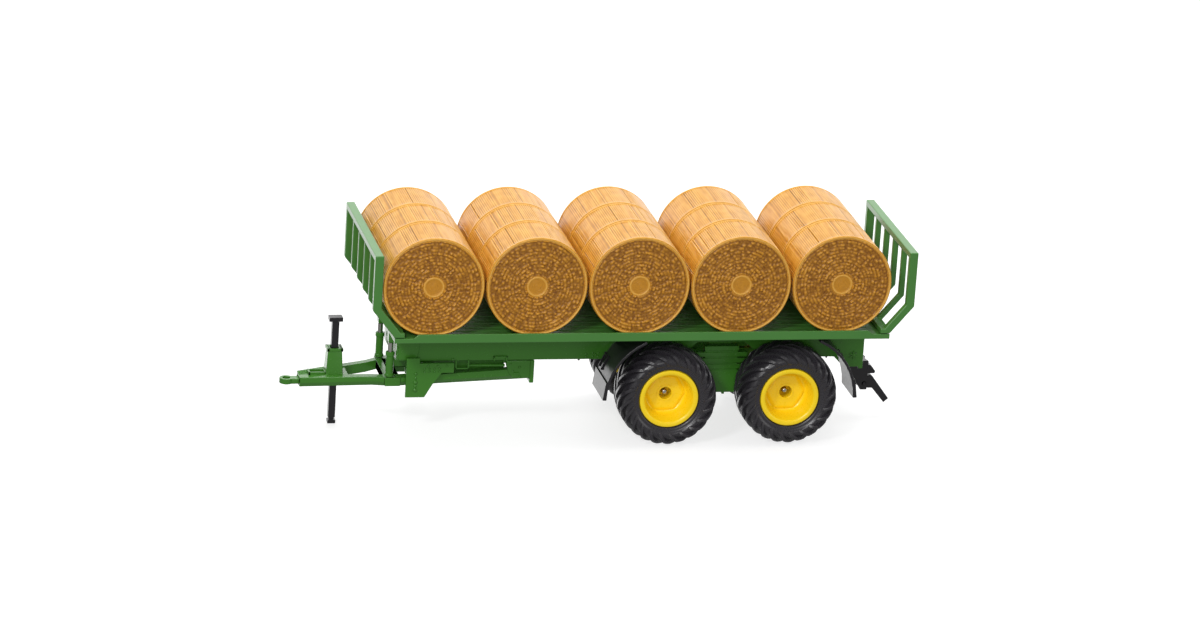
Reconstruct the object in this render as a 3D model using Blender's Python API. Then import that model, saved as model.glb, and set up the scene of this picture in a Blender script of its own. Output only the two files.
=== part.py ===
"""Toy round-bale trailer, 1:32: a flat bed with two slatted gates, a tandem bogie, an A-frame drawbar
with a parking jack, a rear hitch and fifteen loose round bales.

Frame: metres, +Z up. The ground is z = 0, -X is the drawbar end, +X is the rear, -Y is the left side.
The origin is at the middle of the overall length and width, on the ground.
"""

import math

import bmesh
import bpy
from mathutils import Matrix, Vector

MM = 0.001

# Fits
SEAT_GAP = 0.3 * MM
SHAFT_GAP = 0.15 * MM

# Bales
BALE_DIAMETER = 46.0 * MM
BALE_WIDTH = 25.3 * MM
BALE_WALL = 1.6 * MM
BALE_VENT_RADIUS = 2.5 * MM
BALE_ROWS = 5
BALES_ABREAST = 3
BALE_ROW_GAP = 0.9 * MM
BALE_SIDES = 20
BALE_PITCH = BALE_DIAMETER + BALE_ROW_GAP

# Gates
GATE_BARS = 6
GATE_HEIGHT = 38.7 * MM
GATE_BAR = 3.9 * MM
GATE_POST_WIDTH = 3.2 * MM
GATE_SLAT_WIDTH = 2.4 * MM
GATE_SLAT_INSET = 0.6 * MM
GATE_OUTREACH = 10.5 * MM
GATE_ELBOW_RISE = 12.8 * MM
GATE_FOOT = 4.5 * MM
GATE_TOP_RAIL = 3.0 * MM
GATE_BOTTOM_RAIL = 2.2 * MM
GATE_PEG_RADIUS = 1.5 * MM
GATE_PEG_Y = 26.0 * MM
GATE_BALE_GAP = 0.4 * MM
GATE_SLANT = math.hypot(GATE_ELBOW_RISE, GATE_OUTREACH)
GATE_INNER_RUN = GATE_OUTREACH + GATE_FOOT - GATE_BAR
GATE_INNER_RISE = GATE_ELBOW_RISE * GATE_INNER_RUN / GATE_OUTREACH

# Bed, as long as the load between the gates needs: an end bale clears a gate's face and its slanted foot
STRIP_THICK = 1.2 * MM
STRIP_HEIGHT = 4.0 * MM
STRIP_RAMP = 3.0 * MM
STRIP_FRONT_GAP = 3.3 * MM
STRIP_REAR_GAP = 2.8 * MM
BED_SIDE_CLEARANCE = 0.55 * MM
BED_PLATE = 1.4 * MM
BED_SKIRT_DEPTH = 2.2 * MM
BED_SKIRT_THICK = 1.6 * MM
BED_RIB_THICK = 1.2 * MM
BED_RIBS = 9
LOAD_SLACK = 6.8 * MM
BALE_RADIUS = BALE_DIAMETER / 2
FACE_INSET = BALE_RADIUS + GATE_BALE_GAP + GATE_BAR - GATE_OUTREACH
FOOT_LEAN = (BALE_RADIUS * (GATE_SLANT - GATE_OUTREACH) + GATE_BALE_GAP * GATE_SLANT) / GATE_ELBOW_RISE
FIRST_BALE_INSET = max(FACE_INSET, GATE_FOOT + FOOT_LEAN)
LAST_BALE_INSET = FIRST_BALE_INSET + LOAD_SLACK
BED_LENGTH = FIRST_BALE_INSET + (BALE_ROWS - 1) * BALE_PITCH + LAST_BALE_INSET
LOAD_WIDTH = BALES_ABREAST * BALE_WIDTH + (BALES_ABREAST - 1) * SEAT_GAP
BED_HALF_WIDTH = LOAD_WIDTH / 2 + BED_SIDE_CLEARANCE + STRIP_THICK
STRIP_FRONT_INSET = GATE_FOOT + STRIP_FRONT_GAP + STRIP_RAMP
STRIP_REAR_INSET = GATE_FOOT + STRIP_REAR_GAP + STRIP_RAMP

# Reach of the drawbar and the hitch past the bed, which set the overall length and the origin
DRAWBAR_REACH = 44.5 * MM
HITCH_REACH = 12.9 * MM
OVERALL_LENGTH = DRAWBAR_REACH + BED_LENGTH + HITCH_REACH
FRONT_TIP_X = -OVERALL_LENGTH / 2
BED_FRONT_X = FRONT_TIP_X + DRAWBAR_REACH
BED_REAR_X = BED_FRONT_X + BED_LENGTH

# Wheels
TYRE_DIAMETER = 45.4 * MM
TYRE_WIDTH = 21.0 * MM
TYRE_SPACING = 10.8 * MM
TYRE_SIDES = 24
RIM_SIDES = 20
RIM_RADIUS = 13.6 * MM
RIM_LIP = 2.1 * MM
RIM_INSIDE_TYRE = 1.3 * MM
RIM_DISH_DEPTH = 9.6 * MM
HUB_RADIUS = 3.8 * MM
HUB_STEP = 1.3 * MM
AXLE_RADIUS = 1.3 * MM
TYRE_FROM_BED_EDGE = 1.0 * MM
TYRE_RADIUS = TYRE_DIAMETER / 2
RIM_WIDTH = TYRE_WIDTH - 2 * RIM_INSIDE_TYRE
HUB_COUNTERBORE = AXLE_RADIUS + HUB_STEP
TYRE_INNER_Y = BED_HALF_WIDTH - TYRE_FROM_BED_EDGE - TYRE_WIDTH
WHEEL_Y = TYRE_INNER_Y + TYRE_WIDTH / 2
WHEELBASE = TYRE_DIAMETER + TYRE_SPACING
BOGIE_FROM_BED_REAR = 72.1 * MM
BOGIE_X = BED_REAR_X - BOGIE_FROM_BED_REAR
AXLE_X = (BOGIE_X - WHEELBASE / 2, BOGIE_X + WHEELBASE / 2)

# Heights
TYRE_TO_BED = 5.9 * MM
BED_BOTTOM_Z = TYRE_DIAMETER + TYRE_TO_BED
DECK_TOP_Z = BED_BOTTOM_Z + BED_SKIRT_DEPTH
PLATE_BOTTOM_Z = DECK_TOP_Z - BED_PLATE
BALE_Z = DECK_TOP_Z + SEAT_GAP + BALE_RADIUS

# Chassis
RAIL_TYRE_GAP = 2.5 * MM
RAIL_THICK = 2.4 * MM
RAIL_DEPTH = 17.4 * MM
RAIL_FRONT_INSET = 5.6 * MM
RAIL_REAR_INSET = 4.6 * MM
END_PLATE = 2.0 * MM
REAR_PLATE_DROP = 5.9 * MM
SIDE_PLATE_LENGTH = 10.5 * MM
SIDE_PLATE_PROUD = 0.8 * MM
CHEEK_LENGTH = 14.0 * MM
CHEEK_DROP = 5.0 * MM
CROSS_MEMBER = 6.0 * MM
CROSS_MEMBER_DEPTH = 4.8 * MM
BOSS_RADIUS = 2.0 * MM
BOSS_DEPTH = 5.6 * MM
SCREW_RADIUS = 0.8 * MM
SCREW_HEAD_RADIUS = 1.6 * MM
SCREW_HEAD = 1.0 * MM
FRONT_SCREW_INSET = 22.0 * MM
MIDDLE_SCREW_INSET = 21.0 * MM
REAR_SCREW_INSET = 17.0 * MM
RAIL_Y = TYRE_INNER_Y - RAIL_TYRE_GAP
RAIL_TOP_Z = PLATE_BOTTOM_Z - SEAT_GAP
RAIL_BOTTOM_Z = RAIL_TOP_Z - RAIL_DEPTH
RAIL_FRONT_X = BED_FRONT_X + RAIL_FRONT_INSET
RAIL_REAR_X = BED_REAR_X - RAIL_REAR_INSET
RAIL_INNER_Y = RAIL_Y - RAIL_THICK
CROSS_BOTTOM_Z = RAIL_TOP_Z - CROSS_MEMBER_DEPTH
SCREW_X = (BED_FRONT_X + FRONT_SCREW_INSET, AXLE_X[0] - MIDDLE_SCREW_INSET, BED_REAR_X - REAR_SCREW_INSET)

# Bogie
BEAM_THICK = 4.1 * MM
BEAM_TYRE_GAP = 0.5 * MM
BEAM_HALF_HEIGHT = 4.2 * MM
BEAM_END = 4.5 * MM
LEAVES = 5
LEAF = 2.2 * MM
LEAF_STEP = 2.9 * MM
LEAF_GROOVE = 0.4 * MM
LEAF_TOP_HALF = 8.0 * MM
PIVOT_RADIUS = 1.5 * MM
PIVOT_ABOVE_AXLE = 8.3 * MM
HANGER_LENGTH = 10.0 * MM
ARCH_CLEARANCE = 1.3 * MM
ARCH_SHOULDER = 3.0 * MM
PIVOT_SEAT_DEPTH = 3.1 * MM
AXLE_Z = TYRE_RADIUS
BEAM_OUTER_Y = TYRE_INNER_Y - BEAM_TYRE_GAP
BEAM_INNER_Y = BEAM_OUTER_Y - BEAM_THICK
PIVOT_Z = AXLE_Z + PIVOT_ABOVE_AXLE
STACK_BOTTOM_Z = AXLE_Z + BEAM_HALF_HEIGHT
STACK_TOP_Z = STACK_BOTTOM_Z + LEAVES * LEAF_STEP - (LEAF_STEP - LEAF)
ARCH_Z = STACK_TOP_Z + ARCH_CLEARANCE

# Mudguards
GUARD_GAP = 6.6 * MM
GUARD_THICK = 1.2 * MM
GUARD_ANGLES = (180.0, 114.0)
GUARD_TAB_ANGLES = (136.0, 118.0)
GUARD_SIDES = 8
GUARD_INNER_RADIUS = TYRE_RADIUS + GUARD_GAP

# Drawbar
DRAWBAR_BOTTOM_Z = AXLE_Z - 4.2 * MM
DRAWBAR_HEIGHT = 4.8 * MM
KNEE_RISE = 3.4 * MM
ARM_REAR_DROP = 3.8 * MM
ARM_REAR_HEIGHT = 5.4 * MM
FLARE_LENGTH = 8.0 * MM
FLARE_WIDTH = 3.6 * MM
GUSSET_LENGTH = 11.0 * MM
GUSSET_FOOT = 6.4 * MM
GUSSET_PROUD = 0.4 * MM
NOSE_FROM_TIP = 8.7 * MM
NOSE_HALF_WIDTH = 5.0 * MM
ARM_WIDTH = 4.0 * MM
ARM_INSET = 0.5 * MM
ARM_CHAMFER = 1.4 * MM
KNEE_INSET = 4.0 * MM
ARM_LENGTH = 63.5 * MM
WEB_BEHIND_SOCKET = 2.2 * MM
WEB_RECESS = 0.4 * MM
EYE_RADIUS = 3.2 * MM
EYE_HOLE = 1.7 * MM
EYE_HEIGHT = 2.5 * MM
EYE_BELOW_TOP = 2.7 * MM
SHANK_HALF_WIDTH = 2.3 * MM
SHANK_IN_NOSE = 4.2 * MM
ARM_OUTER_Y = RAIL_Y - ARM_INSET
ARM_INNER_Y = ARM_OUTER_Y - ARM_WIDTH
KNEE_X = BED_FRONT_X + KNEE_INSET
ARM_REAR_X = KNEE_X + ARM_LENGTH
NOSE_X = FRONT_TIP_X + NOSE_FROM_TIP
FLARE_X = KNEE_X - FLARE_LENGTH
FLARE_OUTER_Y = ARM_OUTER_Y - FLARE_WIDTH
DRAWBAR_TOP_Z = DRAWBAR_BOTTOM_Z + DRAWBAR_HEIGHT
EYE_Z = DRAWBAR_TOP_Z - EYE_BELOW_TOP
KNEE_BOTTOM_Z = DRAWBAR_BOTTOM_Z + KNEE_RISE
FOOT_TOP_Z = RAIL_BOTTOM_Z - SEAT_GAP
ARM_REAR_TOP_Z = FOOT_TOP_Z - ARM_REAR_DROP
ARM_REAR_BOTTOM_Z = ARM_REAR_TOP_Z - ARM_REAR_HEIGHT

# Parking jack
JACK_FROM_TIP = 24.5 * MM
JACK_SHAFT = 3.2 * MM
JACK_SLIDE_GAP = 0.25 * MM
JACK_HEAD_PROUD = (1.5 * MM, 0.7 * MM)
JACK_HEAD_HEIGHT = 2.0 * MM
JACK_ABOVE_SOCKET = 14.5 * MM
JACK_FOOT_PROUD = 0.25 * MM
JACK_FOOT_HEIGHT = 1.6 * MM
JACK_NECK_INSET = 0.5 * MM
JACK_NECK_HEIGHT = 1.2 * MM
SOCKET_HEIGHT = 13.0 * MM
SOCKET_WALL = (1.6 * MM, 1.3 * MM)
SOCKET_TAPER = 0.8 * MM
JACK_X = FRONT_TIP_X + JACK_FROM_TIP
SOCKET_TOP_HALF = [JACK_SHAFT / 2 + wall for wall in SOCKET_WALL]
SOCKET_BASE_HALF = [half + SOCKET_TAPER for half in SOCKET_TOP_HALF]
WEB_REAR_X = JACK_X + SOCKET_BASE_HALF[0] + WEB_BEHIND_SOCKET
SOCKET_TOP_Z = DRAWBAR_TOP_Z + SOCKET_HEIGHT
JACK_TOP_Z = SOCKET_TOP_Z + JACK_ABOVE_SOCKET

# Drawbar cylinders
CYLINDER_RADIUS = 2.1 * MM
CYLINDER_HEIGHT = 11.8 * MM
ROD_RADIUS = 1.2 * MM
ROD_RISE = 4.4 * MM
ROD_IN_BARREL = 4.5 * MM
YOKE_RISE = 3.1 * MM
CYLINDER_X = RAIL_FRONT_X - CYLINDER_RADIUS - SEAT_GAP
CYLINDER_Y = RAIL_Y - CYLINDER_RADIUS
YOKE_TOP_Z = DRAWBAR_TOP_Z + YOKE_RISE
BARREL_BOTTOM_Z = YOKE_TOP_Z + SEAT_GAP
BARREL_TOP_Z = BARREL_BOTTOM_Z + CYLINDER_HEIGHT
ROD_TOP_Z = BARREL_TOP_Z + ROD_RISE

# Side brackets
BRACKET_THICK = 1.6 * MM
BRACKET_INSET = 10.2 * MM
BRACKET_LAP = 2.2 * MM
BRACKET_TAB = 6.0 * MM
BRACKET_DROP = 0.6 * MM
BRACKET_LENGTH = 21.8 * MM
BRACKET_FOOT = 8.8 * MM
BRACKET_STEP = (12.1 * MM, 16.3 * MM)
BRACKET_STEP_RISE = (0.31, 0.62)

# Rear hitch
HITCH_HALF_WIDTH = 4.2 * MM
LEVER_HALF_WIDTH = 1.8 * MM
HITCH_PIN_RADIUS = 0.8 * MM
HITCH_PIN_HEAD = 0.5 * MM
LEVER_LENGTH = 12.9 * MM
LEVER_PIVOT_DROP = 11.1 * MM
LEVER_DROP = 10.2 * MM
LEVER_BELOW_PIVOT = 3.0 * MM
LEVER_ABOVE_PIVOT = 2.6 * MM
LEVER_TOOTH = 0.6 * MM
JAW_LENGTH = 5.1 * MM
JAW_ABOVE_PIVOT = 4.8 * MM
CHEEK_FRONT = 9.5 * MM
REAR_TIP_X = BED_REAR_X + HITCH_REACH
HITCH_TOP_Z = RAIL_BOTTOM_Z - REAR_PLATE_DROP - SEAT_GAP
LEVER_PIVOT_X = REAR_TIP_X - LEVER_LENGTH
LEVER_PIVOT_Z = HITCH_TOP_Z - LEVER_PIVOT_DROP


def clear_scene():
    for obj in list(bpy.data.objects):
        bpy.data.objects.remove(obj)


def make_finish(name, colour, roughness, metallic=0.0):
    """A painted, moulded or metal finish."""
    finish = bpy.data.materials.new(name)
    finish.use_nodes = True
    shader = finish.node_tree.nodes["Principled BSDF"]
    shader.inputs["Base Color"].default_value = (*colour, 1.0)
    shader.inputs["Roughness"].default_value = roughness
    shader.inputs["Metallic"].default_value = metallic
    return finish


def place(name, mesh, origin, finish):
    """Makes the object, with its mesh moved so that the object's origin lies at the given point."""
    bmesh.ops.remove_doubles(mesh, verts=mesh.verts, dist=0.001 * MM)
    bmesh.ops.recalc_face_normals(mesh, faces=mesh.faces)
    mesh.transform(Matrix.Translation(-Vector(origin)))
    data = bpy.data.meshes.new(name)
    mesh.to_mesh(data)
    mesh.free()
    obj = bpy.data.objects.new(name, data)
    obj.location = origin
    bpy.context.scene.collection.objects.link(obj)
    if finish:
        data.materials.append(finish)
        data.shade_smooth()
        data.set_sharp_from_angle(angle=math.radians(30))
    return obj


def helper(mesh):
    """A body used only by a Boolean modifier."""
    obj = place("helper", mesh, (0, 0, 0), None)
    obj.hide_render = True
    obj.display_type = "WIRE"
    return obj


def combine(obj, meshes, operation):
    """Adds the given bodies to the object, or cuts them from it."""
    for mesh in meshes:
        modifier = obj.modifiers.new(operation.title(), "BOOLEAN")
        modifier.operation = operation
        modifier.solver = "EXACT"
        modifier.object = helper(mesh)


def build(name, bodies, cuts, origin, finish):
    """One solid from overlapping bodies, less the cuts."""
    obj = place(name, bodies[0], origin, finish)
    combine(obj, bodies[1:], "UNION")
    combine(obj, cuts, "DIFFERENCE")
    return obj


def loft(sections):
    """A solid through rings of the same number of corners."""
    mesh = bmesh.new()
    rings = [[mesh.verts.new(corner) for corner in ring] for ring in sections]
    count = len(rings[0])
    for here, there in zip(rings, rings[1:]):
        for i in range(count):
            after = (i + 1) % count
            mesh.faces.new((here[i], here[after], there[after], there[i]))
    mesh.faces.new(rings[0])
    mesh.faces.new(rings[-1])
    return mesh


def block(x, y, z):
    """A box between pairs of limits."""
    return loft([[(at, y[0], z[0]), (at, y[1], z[0]), (at, y[1], z[1]), (at, y[0], z[1])] for at in x])


def slab(outline, y):
    """An outline in X and Z, extruded between two Y limits."""
    return loft([[(px, at, pz) for px, pz in outline] for at in y])


def ring_points(radius, sides, turn=0.0):
    steps = (turn + math.tau * i / sides for i in range(sides))
    return [(radius * math.cos(angle), radius * math.sin(angle)) for angle in steps]


def rod_y(x, z, radius, y, sides=16):
    """A round bar along Y."""
    return slab([(x + px, z + pz) for px, pz in ring_points(radius, sides)], y)


def rod_z(x, y, radius, z, sides=16):
    """A round bar along Z."""
    return loft([[(x + px, y + py, at) for px, py in ring_points(radius, sides)] for at in z])


def turned(x, z, profile, sides):
    """A profile of (radius, y) turned about the Y line at x, z, with a flat at the bottom."""
    mesh = bmesh.new()
    half_step = math.pi / sides
    grow = 1.0 / math.cos(half_step)
    start = Vector((math.sin(half_step), -math.cos(half_step))) * grow
    line = [mesh.verts.new((x + r * start.x, y, z + r * start.y)) for r, y in profile]
    edges = [mesh.edges.new(pair) for pair in zip(line, line[1:])]
    if profile[0][0] > 0:
        edges.append(mesh.edges.new((line[-1], line[0])))
    bmesh.ops.spin(
        mesh,
        geom=line + edges,
        cent=(x, 0, z),
        axis=(0, 1, 0),
        angle=math.tau,
        steps=sides,
        use_merge=True,
    )
    return mesh


def arc(x, z, radius, first, last, steps):
    """Points on an arc in the XZ plane, by angle in degrees from +X towards +Z."""
    angles = [math.radians(first + (last - first) * i / steps) for i in range(steps + 1)]
    return [(x + radius * math.cos(a), z + radius * math.sin(a)) for a in angles]


def across(side, inner, outer):
    """Y limits on one side, from distances off the centre line. side is -1 on the left, +1 on the right."""
    return sorted((side * inner, side * outer))


def make_bed(finish):
    """Deck plate with a skirt below, raised side strips, stiffening ribs, screw bosses and peg holes."""
    half = BED_HALF_WIDTH
    ends = (BED_FRONT_X, BED_REAR_X)
    bodies = [block(ends, (-half, half), (PLATE_BOTTOM_Z, DECK_TOP_Z))]
    skirt = (BED_BOTTOM_Z, DECK_TOP_Z - BED_PLATE / 2)
    for at in (BED_FRONT_X, BED_REAR_X - BED_SKIRT_THICK):
        bodies.append(block((at, at + BED_SKIRT_THICK), (-half, half), skirt))
    first = BED_FRONT_X + STRIP_FRONT_INSET
    last = BED_REAR_X - STRIP_REAR_INSET
    top = BED_BOTTOM_Z + STRIP_HEIGHT
    low = DECK_TOP_Z - BED_PLATE / 2
    strip = [
        (BED_FRONT_X, BED_BOTTOM_Z),
        (BED_REAR_X, BED_BOTTOM_Z),
        (BED_REAR_X, low),
        (last + STRIP_RAMP, low),
        (last, top),
        (first, top),
        (first - STRIP_RAMP, low),
        (BED_FRONT_X, low),
    ]
    for side in (-1, 1):
        bodies.append(slab(strip, across(side, half - STRIP_THICK, half)))
        for i in range(BED_RIBS):
            at = BED_FRONT_X + BED_LENGTH * (i + 1) / (BED_RIBS + 1)
            limits = across(side, RAIL_Y + SIDE_PLATE_PROUD + SEAT_GAP, half - STRIP_THICK / 2)
            bodies.append(block((at, at + BED_RIB_THICK), limits, skirt))
    for at in SCREW_X:
        bodies.append(rod_z(at, 0, BOSS_RADIUS, (PLATE_BOTTOM_Z - BOSS_DEPTH, low)))
    cuts = []
    for at in SCREW_X:
        hole = (PLATE_BOTTOM_Z - 2 * BOSS_DEPTH, PLATE_BOTTOM_Z - BED_PLATE / 2)
        cuts.append(rod_z(at, 0, SCREW_RADIUS + SHAFT_GAP, hole))
    for at in gate_foot_centres():
        for side in (-1, 1):
            through = (BED_BOTTOM_Z - BED_PLATE, DECK_TOP_Z + BED_PLATE)
            cuts.append(rod_z(at, side * GATE_PEG_Y, GATE_PEG_RADIUS + SHAFT_GAP, through))
    return build("bed_deck", bodies, cuts, (BED_FRONT_X, 0, BED_BOTTOM_Z), finish)


def gate_foot_centres():
    return (BED_FRONT_X + GATE_FOOT / 2, BED_REAR_X - GATE_FOOT / 2)


def bar_outline(foot, out, inset):
    """Side view of a bent gate bar, from its outer edge at the deck. out is -1 at the front, 1 behind."""
    base = DECK_TOP_Z + SEAT_GAP
    top = DECK_TOP_Z + GATE_HEIGHT
    elbow = base + GATE_ELBOW_RISE
    face = foot + out * (GATE_OUTREACH - inset)
    back = foot + out * (GATE_OUTREACH - GATE_BAR + inset)
    return [
        (foot - out * inset, base),
        (face, elbow),
        (face, top),
        (back, top),
        (back, base + GATE_INNER_RISE),
        (foot - out * (GATE_FOOT - inset), base),
    ]


def make_gate(name, foot, out, finish):
    """Slatted gate: two posts and four slats, bent at the elbow, with two cross rails and two pegs."""
    base = DECK_TOP_Z + SEAT_GAP
    top = DECK_TOP_Z + GATE_HEIGHT
    half = BED_HALF_WIDTH
    outer = foot + out * GATE_OUTREACH
    x_top = sorted((outer, outer - out * GATE_BAR))
    x_foot = sorted((foot, foot - out * GATE_FOOT))
    bodies = [block(x_top, (-half, half), (top - GATE_TOP_RAIL, top))]
    bodies.append(block(x_foot, (-half, half), (base, base + GATE_BOTTOM_RAIL)))
    reach = half - GATE_POST_WIDTH / 2
    for i in range(GATE_BARS):
        y = -reach + 2 * reach * i / (GATE_BARS - 1)
        is_post = i in (0, GATE_BARS - 1)
        width = GATE_POST_WIDTH if is_post else GATE_SLAT_WIDTH
        inset = 0.0 if is_post else GATE_SLAT_INSET
        bodies.append(slab(bar_outline(foot, out, inset), (y - width / 2, y + width / 2)))
    peg_x = foot - out * GATE_FOOT / 2
    for side in (-1, 1):
        peg = (PLATE_BOTTOM_Z + SEAT_GAP, base + GATE_BOTTOM_RAIL / 2)
        bodies.append(rod_z(peg_x, side * GATE_PEG_Y, GATE_PEG_RADIUS, peg))
    return build(name, bodies, [], (foot, 0, base), finish)


def leaf_reach(i):
    """Half length of a leaf in the pack, counted from the longest one at the bottom."""
    return LEAF_TOP_HALF + (WHEELBASE / 2 - LEAF_TOP_HALF) * (LEAVES - 1 - i) / LEAVES


def make_chassis(finish):
    """Two rails arched over the leaf packs, with end plates, cross members, a hanger and cylinder ears."""
    arch_foot = leaf_reach(1)
    arch_top = LEAF_TOP_HALF + ARCH_SHOULDER
    rail = [
        (RAIL_FRONT_X, RAIL_BOTTOM_Z),
        (BOGIE_X - arch_foot, RAIL_BOTTOM_Z),
        (BOGIE_X - arch_top, ARCH_Z),
        (BOGIE_X + arch_top, ARCH_Z),
        (BOGIE_X + arch_foot, RAIL_BOTTOM_Z),
        (RAIL_REAR_X - CHEEK_LENGTH, RAIL_BOTTOM_Z),
        (RAIL_REAR_X - CHEEK_LENGTH + CHEEK_DROP, RAIL_BOTTOM_Z - CHEEK_DROP),
        (RAIL_REAR_X, RAIL_BOTTOM_Z - CHEEK_DROP),
        (RAIL_REAR_X, RAIL_TOP_Z),
        (RAIL_FRONT_X, RAIL_TOP_Z),
    ]
    lap = RAIL_THICK / 2
    inside = (-RAIL_INNER_Y - lap, RAIL_INNER_Y + lap)
    bodies = [slab(rail, across(-1, RAIL_INNER_Y, RAIL_Y)), slab(rail, across(1, RAIL_INNER_Y, RAIL_Y))]
    front = (RAIL_FRONT_X, RAIL_FRONT_X + END_PLATE)
    rear = (RAIL_REAR_X - END_PLATE, RAIL_REAR_X)
    bodies.append(block(front, (-RAIL_Y, RAIL_Y), (RAIL_BOTTOM_Z, RAIL_TOP_Z)))
    bodies.append(block(rear, (-RAIL_Y, RAIL_Y), (RAIL_BOTTOM_Z - REAR_PLATE_DROP, RAIL_TOP_Z)))
    for at in SCREW_X:
        ends = (at - CROSS_MEMBER / 2, at + CROSS_MEMBER / 2)
        bodies.append(block(ends, inside, (CROSS_BOTTOM_Z, RAIL_TOP_Z)))
    hanger = (BOGIE_X - HANGER_LENGTH / 2, BOGIE_X + HANGER_LENGTH / 2)
    hanger_y = BEAM_INNER_Y - SEAT_GAP
    bodies.append(block(hanger, (-hanger_y, hanger_y), (PIVOT_Z - 2.5 * PIVOT_RADIUS, RAIL_TOP_Z)))
    bodies.append(block(hanger, inside, (ARCH_Z + SEAT_GAP, RAIL_TOP_Z)))
    tie = (ARM_REAR_X - 2 * CROSS_MEMBER, ARM_REAR_X)
    bodies.append(block(tie, inside, (RAIL_BOTTOM_Z, RAIL_BOTTOM_Z + CROSS_MEMBER_DEPTH)))
    for side in (-1, 1):
        lug = across(side, CYLINDER_Y - CYLINDER_RADIUS, CYLINDER_Y + CYLINDER_RADIUS)
        ear = (BED_FRONT_X + BED_SKIRT_THICK + SEAT_GAP, RAIL_FRONT_X + END_PLATE / 2)
        bodies.append(block(ear, lug, (ROD_TOP_Z + SEAT_GAP, RAIL_TOP_Z)))
        bodies.append(slab(side_plate_outline(), across(side, RAIL_Y - lap, RAIL_Y + SIDE_PLATE_PROUD)))
    cuts = [rod_y(BOGIE_X, PIVOT_Z, PIVOT_RADIUS + SHAFT_GAP, (-RAIL_Y, RAIL_Y))]
    for at in SCREW_X:
        through = (CROSS_BOTTOM_Z - BED_PLATE, RAIL_TOP_Z + BED_PLATE)
        cuts.append(rod_z(at, 0, BOSS_RADIUS + SEAT_GAP, through))
    for side in (-1, 1):
        depth = (RAIL_BOTTOM_Z - BED_PLATE, RAIL_BOTTOM_Z + CROSS_MEMBER_DEPTH * 0.8)
        cuts.append(rod_z(drawbar_screw_x(), side * drawbar_screw_y(), SCREW_RADIUS + SHAFT_GAP, depth))
    return build("chassis_frame", bodies, cuts, (RAIL_FRONT_X, 0, RAIL_BOTTOM_Z), finish)


def side_plate_outline():
    """Doubler plate at the rail's front end, with a hollow curved rear edge."""
    radius = RAIL_DEPTH / 2 - BED_PLATE
    x = RAIL_FRONT_X + SIDE_PLATE_LENGTH
    middle = RAIL_BOTTOM_Z + RAIL_DEPTH / 2 - BED_PLATE / 2
    depth = radius * 0.35
    turns = [math.pi * (step / 6 - 0.5) for step in range(7)]
    curve = [(x + depth * (math.cos(turn) - 1), middle + radius * math.sin(turn)) for turn in turns]
    return [(RAIL_FRONT_X, middle - radius)] + curve + [(RAIL_FRONT_X, middle + radius)]


def drawbar_screw_x():
    return ARM_REAR_X - CROSS_MEMBER


def drawbar_screw_y():
    return ARM_INNER_Y / 2


def arm_section(x, outer, bottom, top, side):
    """An arm's cross-section, with its outer lower edge chamfered."""
    inner = outer - ARM_WIDTH
    corners = [
        (inner, bottom),
        (outer - ARM_CHAMFER, bottom),
        (outer, bottom + 1.6 * ARM_CHAMFER),
        (outer, top),
        (inner, top),
    ]
    return [(x, side * y, z) for y, z in corners]


def make_drawbar(finish):
    """A-frame of two rising arms, nose web, jack socket, cylinder yoke and a gusseted rear foot."""
    bodies = []
    for side in (-1, 1):
        arm = [
            arm_section(NOSE_X, NOSE_HALF_WIDTH, DRAWBAR_BOTTOM_Z, DRAWBAR_TOP_Z, side),
            arm_section(FLARE_X, FLARE_OUTER_Y, *front_levels(FLARE_X), side),
            arm_section(KNEE_X, ARM_OUTER_Y, KNEE_BOTTOM_Z, YOKE_TOP_Z, side),
            arm_section(ARM_REAR_X, ARM_OUTER_Y, ARM_REAR_BOTTOM_Z, ARM_REAR_TOP_Z, side),
        ]
        bodies.append(loft(arm))
    slope = (FLARE_OUTER_Y - NOSE_HALF_WIDTH) / (FLARE_X - NOSE_X)
    web_half = NOSE_HALF_WIDTH + slope * (WEB_REAR_X - NOSE_X)
    lap = ARM_WIDTH / 2
    web = [
        (NOSE_X, -NOSE_HALF_WIDTH + lap),
        (NOSE_X, NOSE_HALF_WIDTH - lap),
        (WEB_REAR_X, web_half - lap),
        (WEB_REAR_X, -web_half + lap),
    ]
    under = [(x, y, front_levels(x)[0] + WEB_RECESS) for x, y in web]
    over = [(x, y, front_levels(x)[1] - WEB_RECESS) for x, y in web]
    bodies.append(loft([under, over]))
    socket_base = jack_ring(*SOCKET_BASE_HALF, DRAWBAR_TOP_Z - lap / 2)
    bodies.append(loft([socket_base, jack_ring(*SOCKET_TOP_HALF, SOCKET_TOP_Z)]))
    yoke = (CYLINDER_X - CYLINDER_RADIUS, KNEE_X + 2 * CYLINDER_RADIUS)
    bodies.append(block(yoke, (-RAIL_Y, RAIL_Y), (KNEE_BOTTOM_Z + lap / 4, YOKE_TOP_Z)))
    foot = (ARM_REAR_X - 2 * CROSS_MEMBER, ARM_REAR_X + END_PLATE)
    foot_half = ARM_OUTER_Y - lap
    bodies.append(block(foot, (-foot_half, foot_half), (FOOT_TOP_Z - lap, FOOT_TOP_Z)))
    end = (ARM_REAR_X, ARM_REAR_X + END_PLATE)
    bodies.append(block(end, (-RAIL_Y, RAIL_Y), (ARM_REAR_BOTTOM_Z - BRACKET_THICK, FOOT_TOP_Z)))
    for side in (-1, 1):
        bodies.append(slab(gusset_outline(), across(side, ARM_OUTER_Y - lap, ARM_OUTER_Y + GUSSET_PROUD)))
    cuts = [jack_bore(), eye_slot()]
    for side in (-1, 1):
        through = (FOOT_TOP_Z - 2 * lap, FOOT_TOP_Z + lap)
        cuts.append(rod_z(drawbar_screw_x(), side * drawbar_screw_y(), SCREW_RADIUS + SHAFT_GAP, through))
    return build("drawbar_frame", bodies, cuts, (NOSE_X, 0, DRAWBAR_BOTTOM_Z), finish)


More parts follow.
